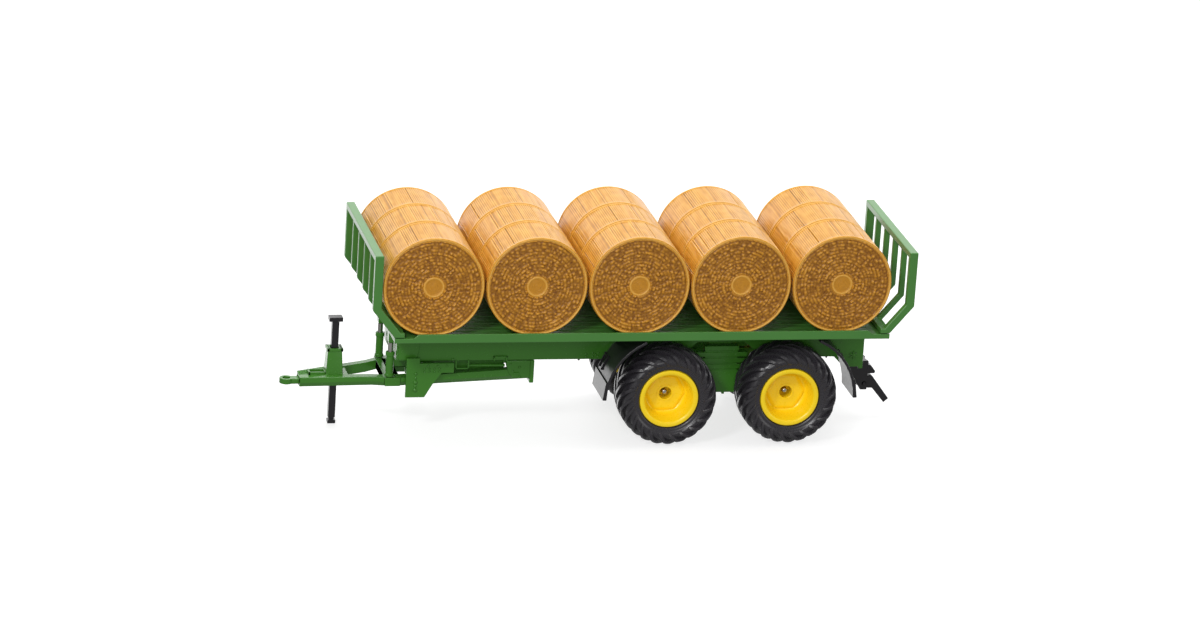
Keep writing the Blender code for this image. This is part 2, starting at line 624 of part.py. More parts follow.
def front_levels(x):
    """Bottom and top of the drawbar ahead of its knee, where it rises towards the yoke."""
    share = (x - NOSE_X) / (KNEE_X - NOSE_X)
    bottom = DRAWBAR_BOTTOM_Z + share * KNEE_RISE
    return bottom, DRAWBAR_TOP_Z + share * (YOKE_TOP_Z - DRAWBAR_TOP_Z)


def gusset_outline():
    """Plate between an arm's rear end and the foot, with a hollow curved front edge."""
    top = FOOT_TOP_Z
    low = ARM_REAR_BOTTOM_Z + ARM_CHAMFER / 2
    start = ARM_REAR_X - GUSSET_LENGTH
    run = GUSSET_LENGTH - GUSSET_FOOT
    curve = []
    for step in range(6):
        turn = math.pi / 2 * step / 5
        curve.append((start + run * (1 - math.cos(turn)), top - (top - low) * math.sin(turn)))
    back = ARM_REAR_X + END_PLATE / 2
    return curve + [(back, low), (back, top)]


def jack_ring(half_x, half_y, z):
    """A level rectangle about the jack's axis."""
    left, right = JACK_X - half_x, JACK_X + half_x
    return [(left, -half_y, z), (right, -half_y, z), (right, half_y, z), (left, half_y, z)]


def jack_bore():
    half = JACK_SHAFT / 2 + JACK_SLIDE_GAP
    height = (DRAWBAR_BOTTOM_Z - BED_PLATE, SOCKET_TOP_Z + BED_PLATE)
    return block((JACK_X - half, JACK_X + half), (-half, half), height)


def eye_slot():
    half = SHANK_HALF_WIDTH + SEAT_GAP
    tall = EYE_HEIGHT / 2 + SEAT_GAP
    length = (NOSE_X - EYE_HEIGHT, NOSE_X + SHANK_IN_NOSE + SEAT_GAP)
    return block(length, (-half, half), (EYE_Z - tall, EYE_Z + tall))


def make_eye(finish):
    """Towing eye: a flat ring on a shank that sits in the drawbar's nose."""
    x = FRONT_TIP_X + EYE_RADIUS
    height = (EYE_Z - EYE_HEIGHT / 2, EYE_Z + EYE_HEIGHT / 2)
    shank = (x + EYE_HOLE + SEAT_GAP, NOSE_X + SHANK_IN_NOSE)
    bodies = [rod_z(x, 0, EYE_RADIUS, height, 20)]
    bodies.append(block(shank, (-SHANK_HALF_WIDTH, SHANK_HALF_WIDTH), height))
    cuts = [rod_z(x, 0, EYE_HOLE, (height[0] - EYE_HEIGHT, height[1] + EYE_HEIGHT), 16)]
    return build("towing_eye", bodies, cuts, (x, 0, EYE_Z), finish)


def make_jack(finish):
    """Parking jack: square shaft with a head plate to pull on, a neck and a small foot."""
    shaft = JACK_SHAFT / 2
    foot = shaft + JACK_FOOT_PROUD
    neck = shaft - JACK_NECK_INSET
    head_x, head_y = (shaft + proud for proud in JACK_HEAD_PROUD)
    neck_top = JACK_FOOT_HEIGHT + JACK_NECK_HEIGHT
    head_bottom = JACK_TOP_Z - JACK_HEAD_HEIGHT
    levels = [
        (foot, foot, 0.0),
        (foot, foot, JACK_FOOT_HEIGHT),
        (neck, neck, JACK_FOOT_HEIGHT),
        (neck, neck, neck_top),
        (shaft, shaft, neck_top),
        (shaft, shaft, head_bottom),
        (head_x, head_y, head_bottom),
        (head_x, head_y, JACK_TOP_Z),
    ]
    rings = [jack_ring(*level) for level in levels]
    return build("parking_jack", [loft(rings)], [], (JACK_X, 0, 0), finish)


def make_cylinders(paint, steel):
    """Drawbar cylinders: a painted barrel with a bright rod, on each side of the yoke."""
    for side, label in ((-1, "left"), (1, "right")):
        y = side * CYLINDER_Y
        base = (CYLINDER_X, y, BARREL_BOTTOM_Z)
        barrel = rod_z(CYLINDER_X, y, CYLINDER_RADIUS, (BARREL_BOTTOM_Z, BARREL_TOP_Z))
        socket = (BARREL_TOP_Z - ROD_IN_BARREL - SEAT_GAP, BARREL_TOP_Z + ROD_RISE)
        hole = rod_z(CYLINDER_X, y, ROD_RADIUS + SHAFT_GAP, socket)
        build(f"cylinder_barrel_{label}", [barrel], [hole], base, paint)
        rod = rod_z(CYLINDER_X, y, ROD_RADIUS, (BARREL_TOP_Z - ROD_IN_BARREL, ROD_TOP_Z))
        build(f"cylinder_rod_{label}", [rod], [], (CYLINDER_X, y, BARREL_TOP_Z), steel)


def make_side_brackets(finish):
    """Deep side plate under each rail, with a raked rear edge and a tab lapped over the rail at the front."""
    x = BED_FRONT_X + BRACKET_INSET
    low = DRAWBAR_BOTTOM_Z - BRACKET_DROP
    high = RAIL_BOTTOM_Z + BRACKET_LAP
    shoulder = RAIL_BOTTOM_Z - SEAT_GAP
    drop = high - low
    outline = [
        (x, low),
        (x + BRACKET_FOOT, low),
        (x + BRACKET_STEP[0], low + drop * BRACKET_STEP_RISE[0]),
        (x + BRACKET_STEP[1], low + drop * BRACKET_STEP_RISE[1]),
        (x + BRACKET_LENGTH, low + drop * BRACKET_STEP_RISE[1]),
        (x + BRACKET_LENGTH, shoulder),
        (x + BRACKET_TAB, shoulder),
        (x + BRACKET_TAB, high),
        (x, high),
    ]
    inner = RAIL_Y + SIDE_PLATE_PROUD + SEAT_GAP
    for side, label in ((-1, "left"), (1, "right")):
        mesh = slab(outline, across(side, inner, inner + BRACKET_THICK))
        build(f"side_bracket_{label}", [mesh], [], (x, side * inner, low), finish)


def make_bogie(paint, steel):
    """Two rocking beams with leaf packs, on one pivot pin through the chassis hanger."""
    half_base = WHEELBASE / 2
    for side, label in ((-1, "left"), (1, "right")):
        beam = [
            (BOGIE_X - half_base - BEAM_END, AXLE_Z - BEAM_HALF_HEIGHT),
            (BOGIE_X + half_base + BEAM_END, AXLE_Z - BEAM_HALF_HEIGHT),
            (BOGIE_X + half_base + BEAM_END * 0.6, AXLE_Z + BEAM_HALF_HEIGHT),
            (BOGIE_X - half_base - BEAM_END * 0.6, AXLE_Z + BEAM_HALF_HEIGHT),
        ]
        groove = LEAF_GROOVE
        core = across(side, BEAM_INNER_Y + groove, BEAM_OUTER_Y - groove)
        full = across(side, BEAM_INNER_Y, BEAM_OUTER_Y)
        bodies = [slab(beam, full)]
        top_half = LEAF_TOP_HALF - groove
        core_x = (BOGIE_X - top_half, BOGIE_X + top_half)
        bodies.append(block(core_x, core, (AXLE_Z, STACK_TOP_Z - LEAF / 2)))
        for i in range(LEAVES):
            reach = leaf_reach(i)
            bottom = STACK_BOTTOM_Z + i * LEAF_STEP
            overlap = LEAF / 2 if i == 0 else 0.0
            bodies.append(block((BOGIE_X - reach, BOGIE_X + reach), full, (bottom - overlap, bottom + LEAF)))
        cuts = []
        for x in AXLE_X:
            through = across(side, BEAM_INNER_Y - MM, BEAM_OUTER_Y + MM)
            cuts.append(rod_y(x, AXLE_Z, AXLE_RADIUS + SHAFT_GAP, through))
        blind = across(side, BEAM_INNER_Y - MM, BEAM_INNER_Y + PIVOT_SEAT_DEPTH)
        cuts.append(rod_y(BOGIE_X, PIVOT_Z, PIVOT_RADIUS + SHAFT_GAP, blind))
        build(f"bogie_beam_{label}", bodies, cuts, (BOGIE_X, side * BEAM_INNER_Y, PIVOT_Z), paint)
    reach = BEAM_INNER_Y + PIVOT_SEAT_DEPTH - SEAT_GAP
    pin = rod_y(BOGIE_X, PIVOT_Z, PIVOT_RADIUS, (-reach, reach))
    build("bogie_pivot_pin", [pin], [], (BOGIE_X, 0, PIVOT_Z), steel)


def tyre_profile(side):
    """Rounded tyre section, hollow and open at the beads, as (radius, y)."""
    half = TYRE_WIDTH / 2
    bead = RIM_RADIUS + SEAT_GAP
    wall = 2.2 * MM
    outer = [
        (bead, -half * 0.8),
        (bead + (TYRE_RADIUS - bead) * 0.45, -half),
        (TYRE_RADIUS - 1.6 * MM, -half * 0.93),
        (TYRE_RADIUS, -half * 0.68),
    ]
    inner = [
        (TYRE_RADIUS - wall, -half * 0.66),
        (bead + (TYRE_RADIUS - bead) * 0.45, -half + wall),
        (bead, -half * 0.8 + wall),
    ]
    loop = outer + [(r, -y) for r, y in reversed(outer)]
    loop += [(r, -y) for r, y in reversed(inner)] + inner
    return [(r, side * (WHEEL_Y + y)) for r, y in loop]


def rim_profile(side):
    """Deep-dish rim with a stepped hub, as (radius, y). The dish opens away from the trailer."""
    face = RIM_WIDTH / 2
    floor = face - RIM_DISH_DEPTH
    bore = AXLE_RADIUS + SHAFT_GAP
    wall = 1.4 * MM
    loop = [
        (RIM_RADIUS, -face),
        (RIM_RADIUS, face),
        (RIM_RADIUS - RIM_LIP, face),
        (RIM_RADIUS - RIM_LIP - wall, floor + wall),
        (HUB_RADIUS + 2 * wall, floor),
        (HUB_RADIUS, floor + wall),
        (HUB_COUNTERBORE, floor + wall),
        (HUB_COUNTERBORE, floor - wall / 2),
        (bore, floor - wall / 2),
        (bore, -face + wall),
        (HUB_RADIUS, -face + wall),
        (HUB_RADIUS, floor - 1.6 * wall),
        (RIM_RADIUS - wall, floor - 1.6 * wall),
        (RIM_RADIUS - wall, -face),
    ]
    return [(r, side * (WHEEL_Y + y)) for r, y in loop]


def make_wheels(rubber, rim_paint, steel):
    """Two wheelsets: tyres on rims, rims pressed on a steel axle that turns in the bogie beams."""
    floor = RIM_WIDTH / 2 - RIM_DISH_DEPTH
    axle_end = WHEEL_Y + floor
    for x, row in zip(AXLE_X, ("front", "rear")):
        for side, label in ((-1, "left"), (1, "right")):
            centre = (x, side * WHEEL_Y, AXLE_Z)
            tyre = turned(x, AXLE_Z, tyre_profile(side), TYRE_SIDES)
            build(f"tyre_{row}_{label}", [tyre], [], centre, rubber)
            rim = turned(x, AXLE_Z, rim_profile(side), RIM_SIDES)
            build(f"rim_{row}_{label}", [rim], [], centre, rim_paint)
        axle = rod_y(x, AXLE_Z, AXLE_RADIUS, (-axle_end, axle_end))
        build(f"axle_{row}", [axle], [], (x, 0, AXLE_Z), steel)


def make_mudguards(finish):
    """Curved guards ahead of the front wheels and behind the rear wheels, each with a tab to the rail."""
    for x, mirror, row in ((AXLE_X[0], 1, "front"), (AXLE_X[1], -1, "rear")):
        for side, label in ((-1, "left"), (1, "right")):
            sheet = guard_outline(x, mirror, *GUARD_ANGLES, GUARD_SIDES)
            tab = guard_outline(x, mirror, *GUARD_TAB_ANGLES, 3)
            bodies = [slab(sheet, across(side, TYRE_INNER_Y, TYRE_INNER_Y + TYRE_WIDTH))]
            bodies.append(slab(tab, across(side, RAIL_Y + SEAT_GAP, TYRE_INNER_Y + GUARD_THICK)))
            build(f"mudguard_{row}_{label}", bodies, [], (x, side * TYRE_INNER_Y, AXLE_Z), finish)


def guard_outline(x, mirror, first, last, steps):
    outside = arc(0, AXLE_Z, GUARD_INNER_RADIUS + GUARD_THICK, first, last, steps)
    inside = arc(0, AXLE_Z, GUARD_INNER_RADIUS, last, first, steps)
    return [(x + mirror * px, pz) for px, pz in outside + inside]


def make_hitch(plastic, steel):
    """Rear hitch: a body with an upper jaw and two cheeks, and a lever with the lower jaw between them."""
    x, z = LEVER_PIVOT_X, LEVER_PIVOT_Z
    jaw_z = z + JAW_ABOVE_PIVOT
    front = x - JAW_LENGTH
    cheek = [
        (x - CHEEK_FRONT, HITCH_TOP_Z),
        (front - 1.5 * MM, jaw_z),
        (x - 1.6 * MM, z - LEVER_BELOW_PIVOT),
        (x + 1.4 * MM, z - LEVER_BELOW_PIVOT),
        (x + 1.4 * MM, HITCH_TOP_Z),
    ]
    jaw = [
        (front, jaw_z),
        (x + JAW_LENGTH - 0.4 * MM, jaw_z),
        (x + JAW_LENGTH, jaw_z + 1.0 * MM),
        (x + 3.0 * MM, jaw_z + 3.8 * MM),
        (x + 0.8 * MM, jaw_z + 4.6 * MM),
        (x + 0.8 * MM, HITCH_TOP_Z),
        (front, HITCH_TOP_Z),
    ]
    slot = LEVER_HALF_WIDTH + SEAT_GAP
    bodies = [slab(jaw, (-HITCH_HALF_WIDTH + SEAT_GAP, HITCH_HALF_WIDTH - SEAT_GAP))]
    for side in (-1, 1):
        bodies.append(slab(cheek, across(side, slot, HITCH_HALF_WIDTH)))
    bore = HITCH_PIN_RADIUS + SHAFT_GAP
    cuts = [rod_y(x, z, bore, (-2 * HITCH_HALF_WIDTH, 2 * HITCH_HALF_WIDTH))]
    build("hitch_body", bodies, cuts, (x, 0, z), plastic)
    under = z - LEVER_BELOW_PIVOT
    over = z + LEVER_ABOVE_PIVOT
    lever = [
        (x - 1.5 * MM, under),
        (x + 4.6 * MM, under),
        (REAR_TIP_X - 2.2 * MM, z - LEVER_DROP),
        (REAR_TIP_X, z - LEVER_DROP + 1.9 * MM),
        (x + 4.6 * MM, over),
        (x + 4.0 * MM, over + LEVER_TOOTH),
        (x + 3.0 * MM, over + LEVER_TOOTH),
        (x + 2.6 * MM, over),
        (x - 1.5 * MM, over),
    ]
    swing = slab(lever, (-LEVER_HALF_WIDTH, LEVER_HALF_WIDTH))
    lever_cut = rod_y(x, z, bore, (-HITCH_HALF_WIDTH, HITCH_HALF_WIDTH))
    build("hitch_lever", [swing], [lever_cut], (x, 0, z), plastic)
    reach = HITCH_HALF_WIDTH + HITCH_PIN_HEAD
    pin = rod_y(x, z, HITCH_PIN_RADIUS, (-reach, reach), 12)
    build("hitch_pin", [pin], [], (x, 0, z), steel)


def screw(name, x, y, head_z, tip_z, finish):
    """Round-headed screw, head down."""
    shank = rod_z(x, y, SCREW_RADIUS, (head_z - SCREW_HEAD / 2, tip_z), 12)
    head = rod_z(x, y, SCREW_HEAD_RADIUS, (head_z - SCREW_HEAD, head_z), 12)
    return build(name, [head, shank], [], (x, y, head_z), finish)


def make_screws(finish):
    """Screws that hold the bed to the chassis and the drawbar to the chassis."""
    for i, x in enumerate(SCREW_X, start=1):
        head_z = PLATE_BOTTOM_Z - BOSS_DEPTH - SEAT_GAP
        screw(f"bed_screw_{i}", x, 0, head_z, PLATE_BOTTOM_Z - BED_PLATE, finish)
    for side, label in ((-1, "left"), (1, "right")):
        head_z = FOOT_TOP_Z - ARM_WIDTH / 2 - SEAT_GAP
        tip = RAIL_BOTTOM_Z + CROSS_MEMBER_DEPTH / 2
        screw(f"drawbar_screw_{label}", drawbar_screw_x(), side * drawbar_screw_y(), head_z, tip, finish)


def make_bales(finish):
    """Hollow moulded round bales, in rows along the bed, each with a vent hole on a hidden face."""
    radius = BALE_RADIUS
    for row in range(BALE_ROWS):
        for place_number, label in enumerate(("left", "middle", "right")):
            x = BED_FRONT_X + FIRST_BALE_INSET + row * BALE_PITCH
            y = (place_number - 1) * (BALE_WIDTH + SEAT_GAP)
            shown = 1 if label == "right" else -1
            far = BALE_WIDTH / 2
            near = -far
            profile = [
                (0.0, near),
                (radius, near),
                (radius, far),
                (BALE_VENT_RADIUS, far),
                (BALE_VENT_RADIUS, far - BALE_WALL),
                (radius - BALE_WALL, far - BALE_WALL),
                (radius - BALE_WALL, near + BALE_WALL),
                (0.0, near + BALE_WALL),
            ]
            mesh = turned(x, BALE_Z, [(r, y - shown * s) for r, s in profile], BALE_SIDES)
            build(f"bale_{row + 1}_{label}", [mesh], [], (x, y, BALE_Z), finish)


def main():
    clear_scene()
    bed_green = make_finish("bed_green", (0.045, 0.165, 0.022), 0.38)
    chassis_green = make_finish("chassis_green", (0.028, 0.125, 0.012), 0.32)
    black = make_finish("black_plastic", (0.022, 0.020, 0.024), 0.35)
    rubber = make_finish("tyre_rubber", (0.030, 0.028, 0.032), 0.55)
    yellow = make_finish("rim_yellow", (0.80, 0.42, 0.008), 0.38)
    steel = make_finish("bright_steel", (0.62, 0.60, 0.58), 0.25, 1.0)
    straw = make_finish("bale_straw", (0.40, 0.20, 0.030), 0.5)
    make_bed(bed_green)
    make_gate("front_gate", BED_FRONT_X, -1, bed_green)
    make_gate("rear_gate", BED_REAR_X, 1, bed_green)
    make_chassis(chassis_green)
    make_drawbar(chassis_green)
    make_eye(chassis_green)
    make_jack(black)
    make_cylinders(chassis_green, steel)
    make_side_brackets(chassis_green)
    make_bogie(chassis_green, steel)
    make_wheels(rubber, yellow, steel)
    make_mudguards(black)
    make_hitch(black, steel)
    make_screws(steel)
    make_bales(straw)


main()
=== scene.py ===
"""Looks of the toy round-bale trailer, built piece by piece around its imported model.

Everything is in metres in the model's own frame: the ground is z = 0, the drawbar points to -X and the
trailer's left side is -Y. Sizes written in millimetres are turned to metres by MM.
"""

import math

import bpy
from mathutils import Matrix, Vector, noise


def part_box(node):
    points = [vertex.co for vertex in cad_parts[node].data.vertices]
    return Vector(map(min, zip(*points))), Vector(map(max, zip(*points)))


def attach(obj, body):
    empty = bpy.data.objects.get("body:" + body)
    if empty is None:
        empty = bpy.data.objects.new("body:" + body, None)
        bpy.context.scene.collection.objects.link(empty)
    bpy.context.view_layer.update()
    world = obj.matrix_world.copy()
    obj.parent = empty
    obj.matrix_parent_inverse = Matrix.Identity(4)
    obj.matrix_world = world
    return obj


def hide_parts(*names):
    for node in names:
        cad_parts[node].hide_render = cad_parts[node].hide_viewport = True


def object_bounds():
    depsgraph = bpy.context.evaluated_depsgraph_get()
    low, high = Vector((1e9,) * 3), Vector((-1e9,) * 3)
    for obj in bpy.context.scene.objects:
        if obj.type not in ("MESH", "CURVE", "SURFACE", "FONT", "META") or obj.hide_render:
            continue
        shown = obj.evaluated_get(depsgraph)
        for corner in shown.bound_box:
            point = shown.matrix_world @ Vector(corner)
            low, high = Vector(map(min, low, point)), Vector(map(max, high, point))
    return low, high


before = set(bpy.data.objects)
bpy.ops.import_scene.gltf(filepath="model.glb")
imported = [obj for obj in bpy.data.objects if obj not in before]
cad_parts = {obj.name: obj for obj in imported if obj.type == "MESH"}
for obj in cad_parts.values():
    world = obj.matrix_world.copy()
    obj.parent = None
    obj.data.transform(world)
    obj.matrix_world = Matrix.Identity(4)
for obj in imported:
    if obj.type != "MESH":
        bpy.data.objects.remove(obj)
cad_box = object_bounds()
MM = 0.001

# Studio set: a long lens off the trailer's left front, a little above the bales and slightly tilted. The
# table is pale, and soft panels stand overhead, behind, in front, off the left front and to the right.
CAMERA_DISTANCE = 2.505
CAMERA_AIM = (3.7 * MM, 0.6 * MM)
LENS_MM = 165.0
TABLE_GLOW = 0.72
SKY_GLOW = 0.36

lowest, highest = (Vector(corner) for corner in cad_box)
middle = (lowest + highest) / 2
azimuth, elevation, tilt = (math.radians(angle) for angle in (-13.1, 18.5, 3.72))
level = Vector((math.cos(azimuth), math.sin(azimuth), 0.0))
ahead = Vector((math.sin(azimuth), -math.cos(azimuth), 0.0))
back = ahead * math.cos(elevation) + Vector((0.0, 0.0, math.sin(elevation)))
rise = back.cross(level)
across = level * math.cos(tilt) + rise * math.sin(tilt)
upward = rise * math.cos(tilt) - level * math.sin(tilt)
lens = bpy.data.cameras.new("lens")
lens.sensor_width = 36.0
lens.lens = LENS_MM
lens.clip_start = 0.1
camera = bpy.data.objects.new("camera", lens)
stand = middle + level * CAMERA_AIM[0] + rise * CAMERA_AIM[1] + back * CAMERA_DISTANCE
camera.matrix_world = Matrix.Translation(stand) @ Matrix((across, upward, back)).transposed().to_4x4()
bpy.context.scene.collection.objects.link(camera)
bpy.context.scene.camera = camera
bpy.context.scene.view_settings.view_transform = "Standard"


def linear(colour):
    """An sRGB colour such as "#4a7f38" as linear RGBA."""
    parts = [int(colour[i : i + 2], 16) / 255 for i in (1, 3, 5)]
    return (*(part / 12.92 if part <= 0.04045 else ((part + 0.055) / 1.055) ** 2.4 for part in parts), 1.0)


def node(material, kind, inputs, **settings):
    """Adds a shader node with its settings, and fills its inputs with values or other nodes' outputs."""
    made = material.node_tree.nodes.new(kind)
    for name, value in settings.items():
        setattr(made, name, value)
    for name, value in inputs.items():
        if isinstance(value, bpy.types.NodeSocket):
            material.node_tree.links.new(value, made.inputs[name])
        else:
            made.inputs[name].default_value = value
    return made


def finish(name, colour, roughness, **values):
    """A material with a Principled shader, with uniform values on its own sockets."""
    material = bpy.data.materials.new(name)
    material.use_nodes = True
    shader = material.node_tree.nodes["Principled BSDF"]
    shader.inputs["Base Color"].default_value = linear(colour)
    shader.inputs["Roughness"].default_value = roughness
    for socket, value in values.items():
        shader.inputs[socket.replace("_", " ")].default_value = value
    return material, shader


table_top, table_shader = finish("white_laminate", "#a2a2a2", 0.6)
table_shader.inputs["Emission Color"].default_value = (1.0, 1.0, 1.0, 1.0)
table_shader.inputs["Emission Strength"].default_value = TABLE_GLOW
bpy.ops.mesh.primitive_plane_add(size=30.0, location=(0.0, 0.0, -0.2 * MM))
table = bpy.context.object
table.name = "table"
table.data.materials.append(table_top)
# The table is seen directly, but it throws no light back on the trailer.
table.visible_diffuse = False
table.visible_glossy = False
table.visible_shadow = False

sky = bpy.data.worlds.new("studio")
sky.use_nodes = True
sky.node_tree.nodes["Background"].inputs["Color"].default_value = (1.0, 1.0, 1.0, 1.0)
sky.node_tree.nodes["Background"].inputs["Strength"].default_value = SKY_GLOW
bpy.context.scene.world = sky


def panel(name, place, size, power):
    """A soft light panel that faces the trailer."""
    light = bpy.data.lights.new(name, "AREA")
    light.shape = "RECTANGLE"
    light.size, light.size_y = size
    light.energy = power
    lamp = bpy.data.objects.new(name, light)
    lamp.location = place
    lamp.rotation_euler = (middle - Vector(place)).to_track_quat("-Z", "Y").to_euler()
    bpy.context.scene.collection.objects.link(lamp)


panel("overhead_panel", (0.05, 0.2, 1.2), (1.3, 0.7), 13.5)
panel("back_panel", (0.1, 1.5, 0.05), (2.4, 1.5), 18.0)
panel("front_panel", (-0.4, -1.5, 0.55), (0.9, 0.6), 7.0)
panel("key_panel", (-0.7, -0.9, 0.9), (0.2, 0.2), 7.0)
panel("right_panel", (1.2, -0.6, 0.4), (0.5, 0.6), 2.0)

# Round bales: hollow mouldings in straw-coloured plastic. The skin has fine ridges from side to side, like
# straw under net wrap, each face has rows of short straws round a plain ring, and both edges are smooth.
STRAW_ROW = 1.5 * MM
STRAW_LENGTH = 1.05 * MM
STRAW_HEIGHT = 0.7 * MM
RIM_EDGE = 1.2 * MM
FACE_DEPTH = 0.55 * MM
RING_BOSS = 4.9 * MM
RING_HEIGHT = 0.45 * MM
VENT_RADIUS = 2.5 * MM
BALE_WALL = 1.6 * MM
SKIN_RIDGE = 0.16 * MM
SKIN_INSET = 0.12 * MM
SKIN_EDGE = 1.25 * MM
TWINE_EVERY = 23
BALE_STEPS = 300
FACE_ROWS = 54
FIBRE_SCALE = 720.0
FIBRE_DEPTH = 0.4 * MM


def edit(piece):
    """Opens one piece in edit mode with all of it selected."""
    bpy.ops.object.select_all(action="DESELECT")
    bpy.context.view_layer.objects.active = piece
    piece.select_set(True)
    bpy.ops.object.mode_set(mode="EDIT")
    bpy.ops.mesh.select_all(action="SELECT")


def turned(name, profile, steps, closed):
    """A piece turned about the Y axis from a profile of (radius, y) in metres."""
    mesh = bpy.data.meshes.new(name)
    edges = [(i, i + 1) for i in range(len(profile) - 1)]
    if closed:
        edges.append((len(profile) - 1, 0))
    mesh.from_pydata([(radius, y, 0.0) for radius, y in profile], edges, [])
    piece = bpy.data.objects.new(name, mesh)
    bpy.context.scene.collection.objects.link(piece)
    edit(piece)
    bpy.ops.mesh.spin(steps=steps, angle=math.tau, center=(0.0, 0.0, 0.0), axis=(0.0, 1.0, 0.0))
    bpy.ops.mesh.select_all(action="SELECT")
    bpy.ops.mesh.remove_doubles(threshold=0.001 * MM)
    bpy.ops.mesh.normals_make_consistent(inside=False)
    bpy.ops.object.mode_set(mode="OBJECT")
    return piece


def smooth(piece, degrees=40.0):
    """Shades a piece smooth, apart from edges sharper than an angle."""
    bpy.ops.object.select_all(action="DESELECT")
    bpy.context.view_layer.objects.active = piece
    piece.select_set(True)
    bpy.ops.object.shade_smooth_by_angle(angle=math.radians(degrees))


def placed(piece, material, slot, body, *nodes):
    """Gives a piece its finish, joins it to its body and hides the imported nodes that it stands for."""
    piece.data.materials.clear()
    piece.data.materials.append(material)
    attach(piece, body)
    if nodes:
        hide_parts(*nodes)


def bale_profile(radius, half, vent):
    """From the middle of the shown face, over the skin, to the vent on the hidden face."""
    flat = radius - RIM_EDGE
    face = [(flat * i / FACE_ROWS, -half + FACE_DEPTH) for i in range(FACE_ROWS + 1)]
    edge = [
        (radius - 0.95 * MM, -half + 0.1 * MM),
        (radius - 0.6 * MM, -half),
        (radius - 0.2 * MM, -half + 0.2 * MM),
        (radius, -half + 0.6 * MM),
        (radius, -half + 1.0 * MM),
        (radius - SKIN_INSET, -half + SKIN_EDGE),
    ]
    skin_run = 2 * (half - SKIN_EDGE)
    skin = [(radius - SKIN_INSET, -half + SKIN_EDGE + skin_run * i / 10) for i in range(1, 10)]
    far_face = [(flat - (flat - vent) * i / 22, half - FACE_DEPTH) for i in range(23)]
    far_edge = [(r, -y) for r, y in reversed(edge)]
    return face + edge + skin + far_edge + far_face + [(vent, half - BALE_WALL), (0.0, half - BALE_WALL)]


def straw_height_and_painted_shading(point, radius, half):
    """Height of the straw over the face or the skin, and its colour value: painted shade (0) in hollows,
    grooves, the seam and the vent, painted highlight (1) on proud straws, ridges and edges.
    """
    distance = math.hypot(point.x, point.z)
    turn = Vector((point.x, point.z)) / max(distance, 0.01 * MM)
    if distance < radius - RIM_EDGE - 0.2 * MM:
        # Inside the hollow behind the vent, the colour value is low: painted shade.
        if abs(point.y) < half - 1.0 * MM:
            return 0.0, 0.2
        if distance < RING_BOSS:
            # The ring bead is painted lighter where it rises: a painted highlight.
            bead = math.exp(-(((distance - RING_BOSS + 0.6 * MM) / (0.35 * MM)) ** 2))
            fine = noise.noise(Vector((point.x, point.z, 0.0)) / (0.8 * MM))
            return RING_HEIGHT * bead + 0.08 * MM * fine, 0.42 + 0.4 * bead
        # Straws: the colour value rises with height, giving a painted highlight on proud straws and painted
        # shade in the hollows between rows.
        row = int(distance / STRAW_ROW)
        between = math.sin(math.pi * (distance / STRAW_ROW - row))
        along = turn * (row + 0.5) * STRAW_ROW / STRAW_LENGTH
        straw = noise.noise(Vector((along.x, along.y, 3.7 * row)))
        fleck = noise.noise(Vector((point.x, point.z, 9.0 * MM)) / (0.7 * MM))
        height = between * min(max(0.45 + 1.5 * straw, 0.0), 1.1) + 0.3 * fleck
        return STRAW_HEIGHT * height, min(max(0.1 + 0.48 * height, 0.0), 1.0)
    if abs(point.y) < half - 1.1 * MM and distance > radius - 0.4 * MM:
        # Skin: ridges are painted lighter, and the grooves between them and the twine lines darker: painted
        # highlight and painted shade.
        angle = math.atan2(point.z, point.x)
        line = round(angle / math.tau * BALE_STEPS)
        own = noise.cell(Vector((0.5 * (line // 2) + 0.25, 0.5, 0.5)))
        ridge = (0.8 if line % 2 else -0.8) * (0.6 + 0.6 * own)
        broken = noise.noise(Vector((turn.x * 9.0, point.y / (5.0 * MM), turn.y * 9.0)))
        deep = -1.0 if line % TWINE_EVERY == 0 else 0.0
        height = ridge + deep + 0.4 * broken
        return SKIN_RIDGE * height, min(max(0.55 + 0.32 * height, 0.0), 1.0)
    # Edges: the outer corner where bales touch is painted dark, as painted shade in the seam. The rounded
    # edges beside it are painted light, as a painted highlight.
    seam = distance > radius - 0.5 * MM and abs(point.y) > half - 0.55 * MM
    return 0.0, 0.35 if seam else 0.78


straw, straw_shader = finish("straw_polystyrene", "#c9922f", 0.4, IOR=1.5, Specular_IOR_Level=0.4)
# Polystyrene, moulded: ochre straws with a soft gloss. The brown between them is painted shade in the
# hollows, and proud straws and ridges carry a painted highlight. Fibres 1.4 mm wide run along the rows of a
# face and over the skin from side to side, drawn coarser than the real ones to show.
lay = node(straw, "ShaderNodeAttribute", {}, attribute_name="lay")
painted_shade_and_highlight = node(straw, "ShaderNodeAttribute", {}, attribute_name="painted_shade_and_highlight")
fibre = node(
    straw,
    "ShaderNodeTexNoise",
    {"Vector": lay.outputs["Vector"], "Scale": FIBRE_SCALE, "Detail": 3.0},
)
# Fibre grain, the bale's own texture, plus the painted shade and highlight from the attribute.
grain_and_painted_shading = node(
    straw,
    "ShaderNodeMath",
    {0: fibre.outputs["Fac"], 1: 0.34, 2: painted_shade_and_highlight.outputs["Fac"]},
    operation="MULTIPLY_ADD",
)
shade = node(straw, "ShaderNodeMapRange", {"Value": grain_and_painted_shading.outputs[0], "From Min": 0.15, "From Max": 1.15})
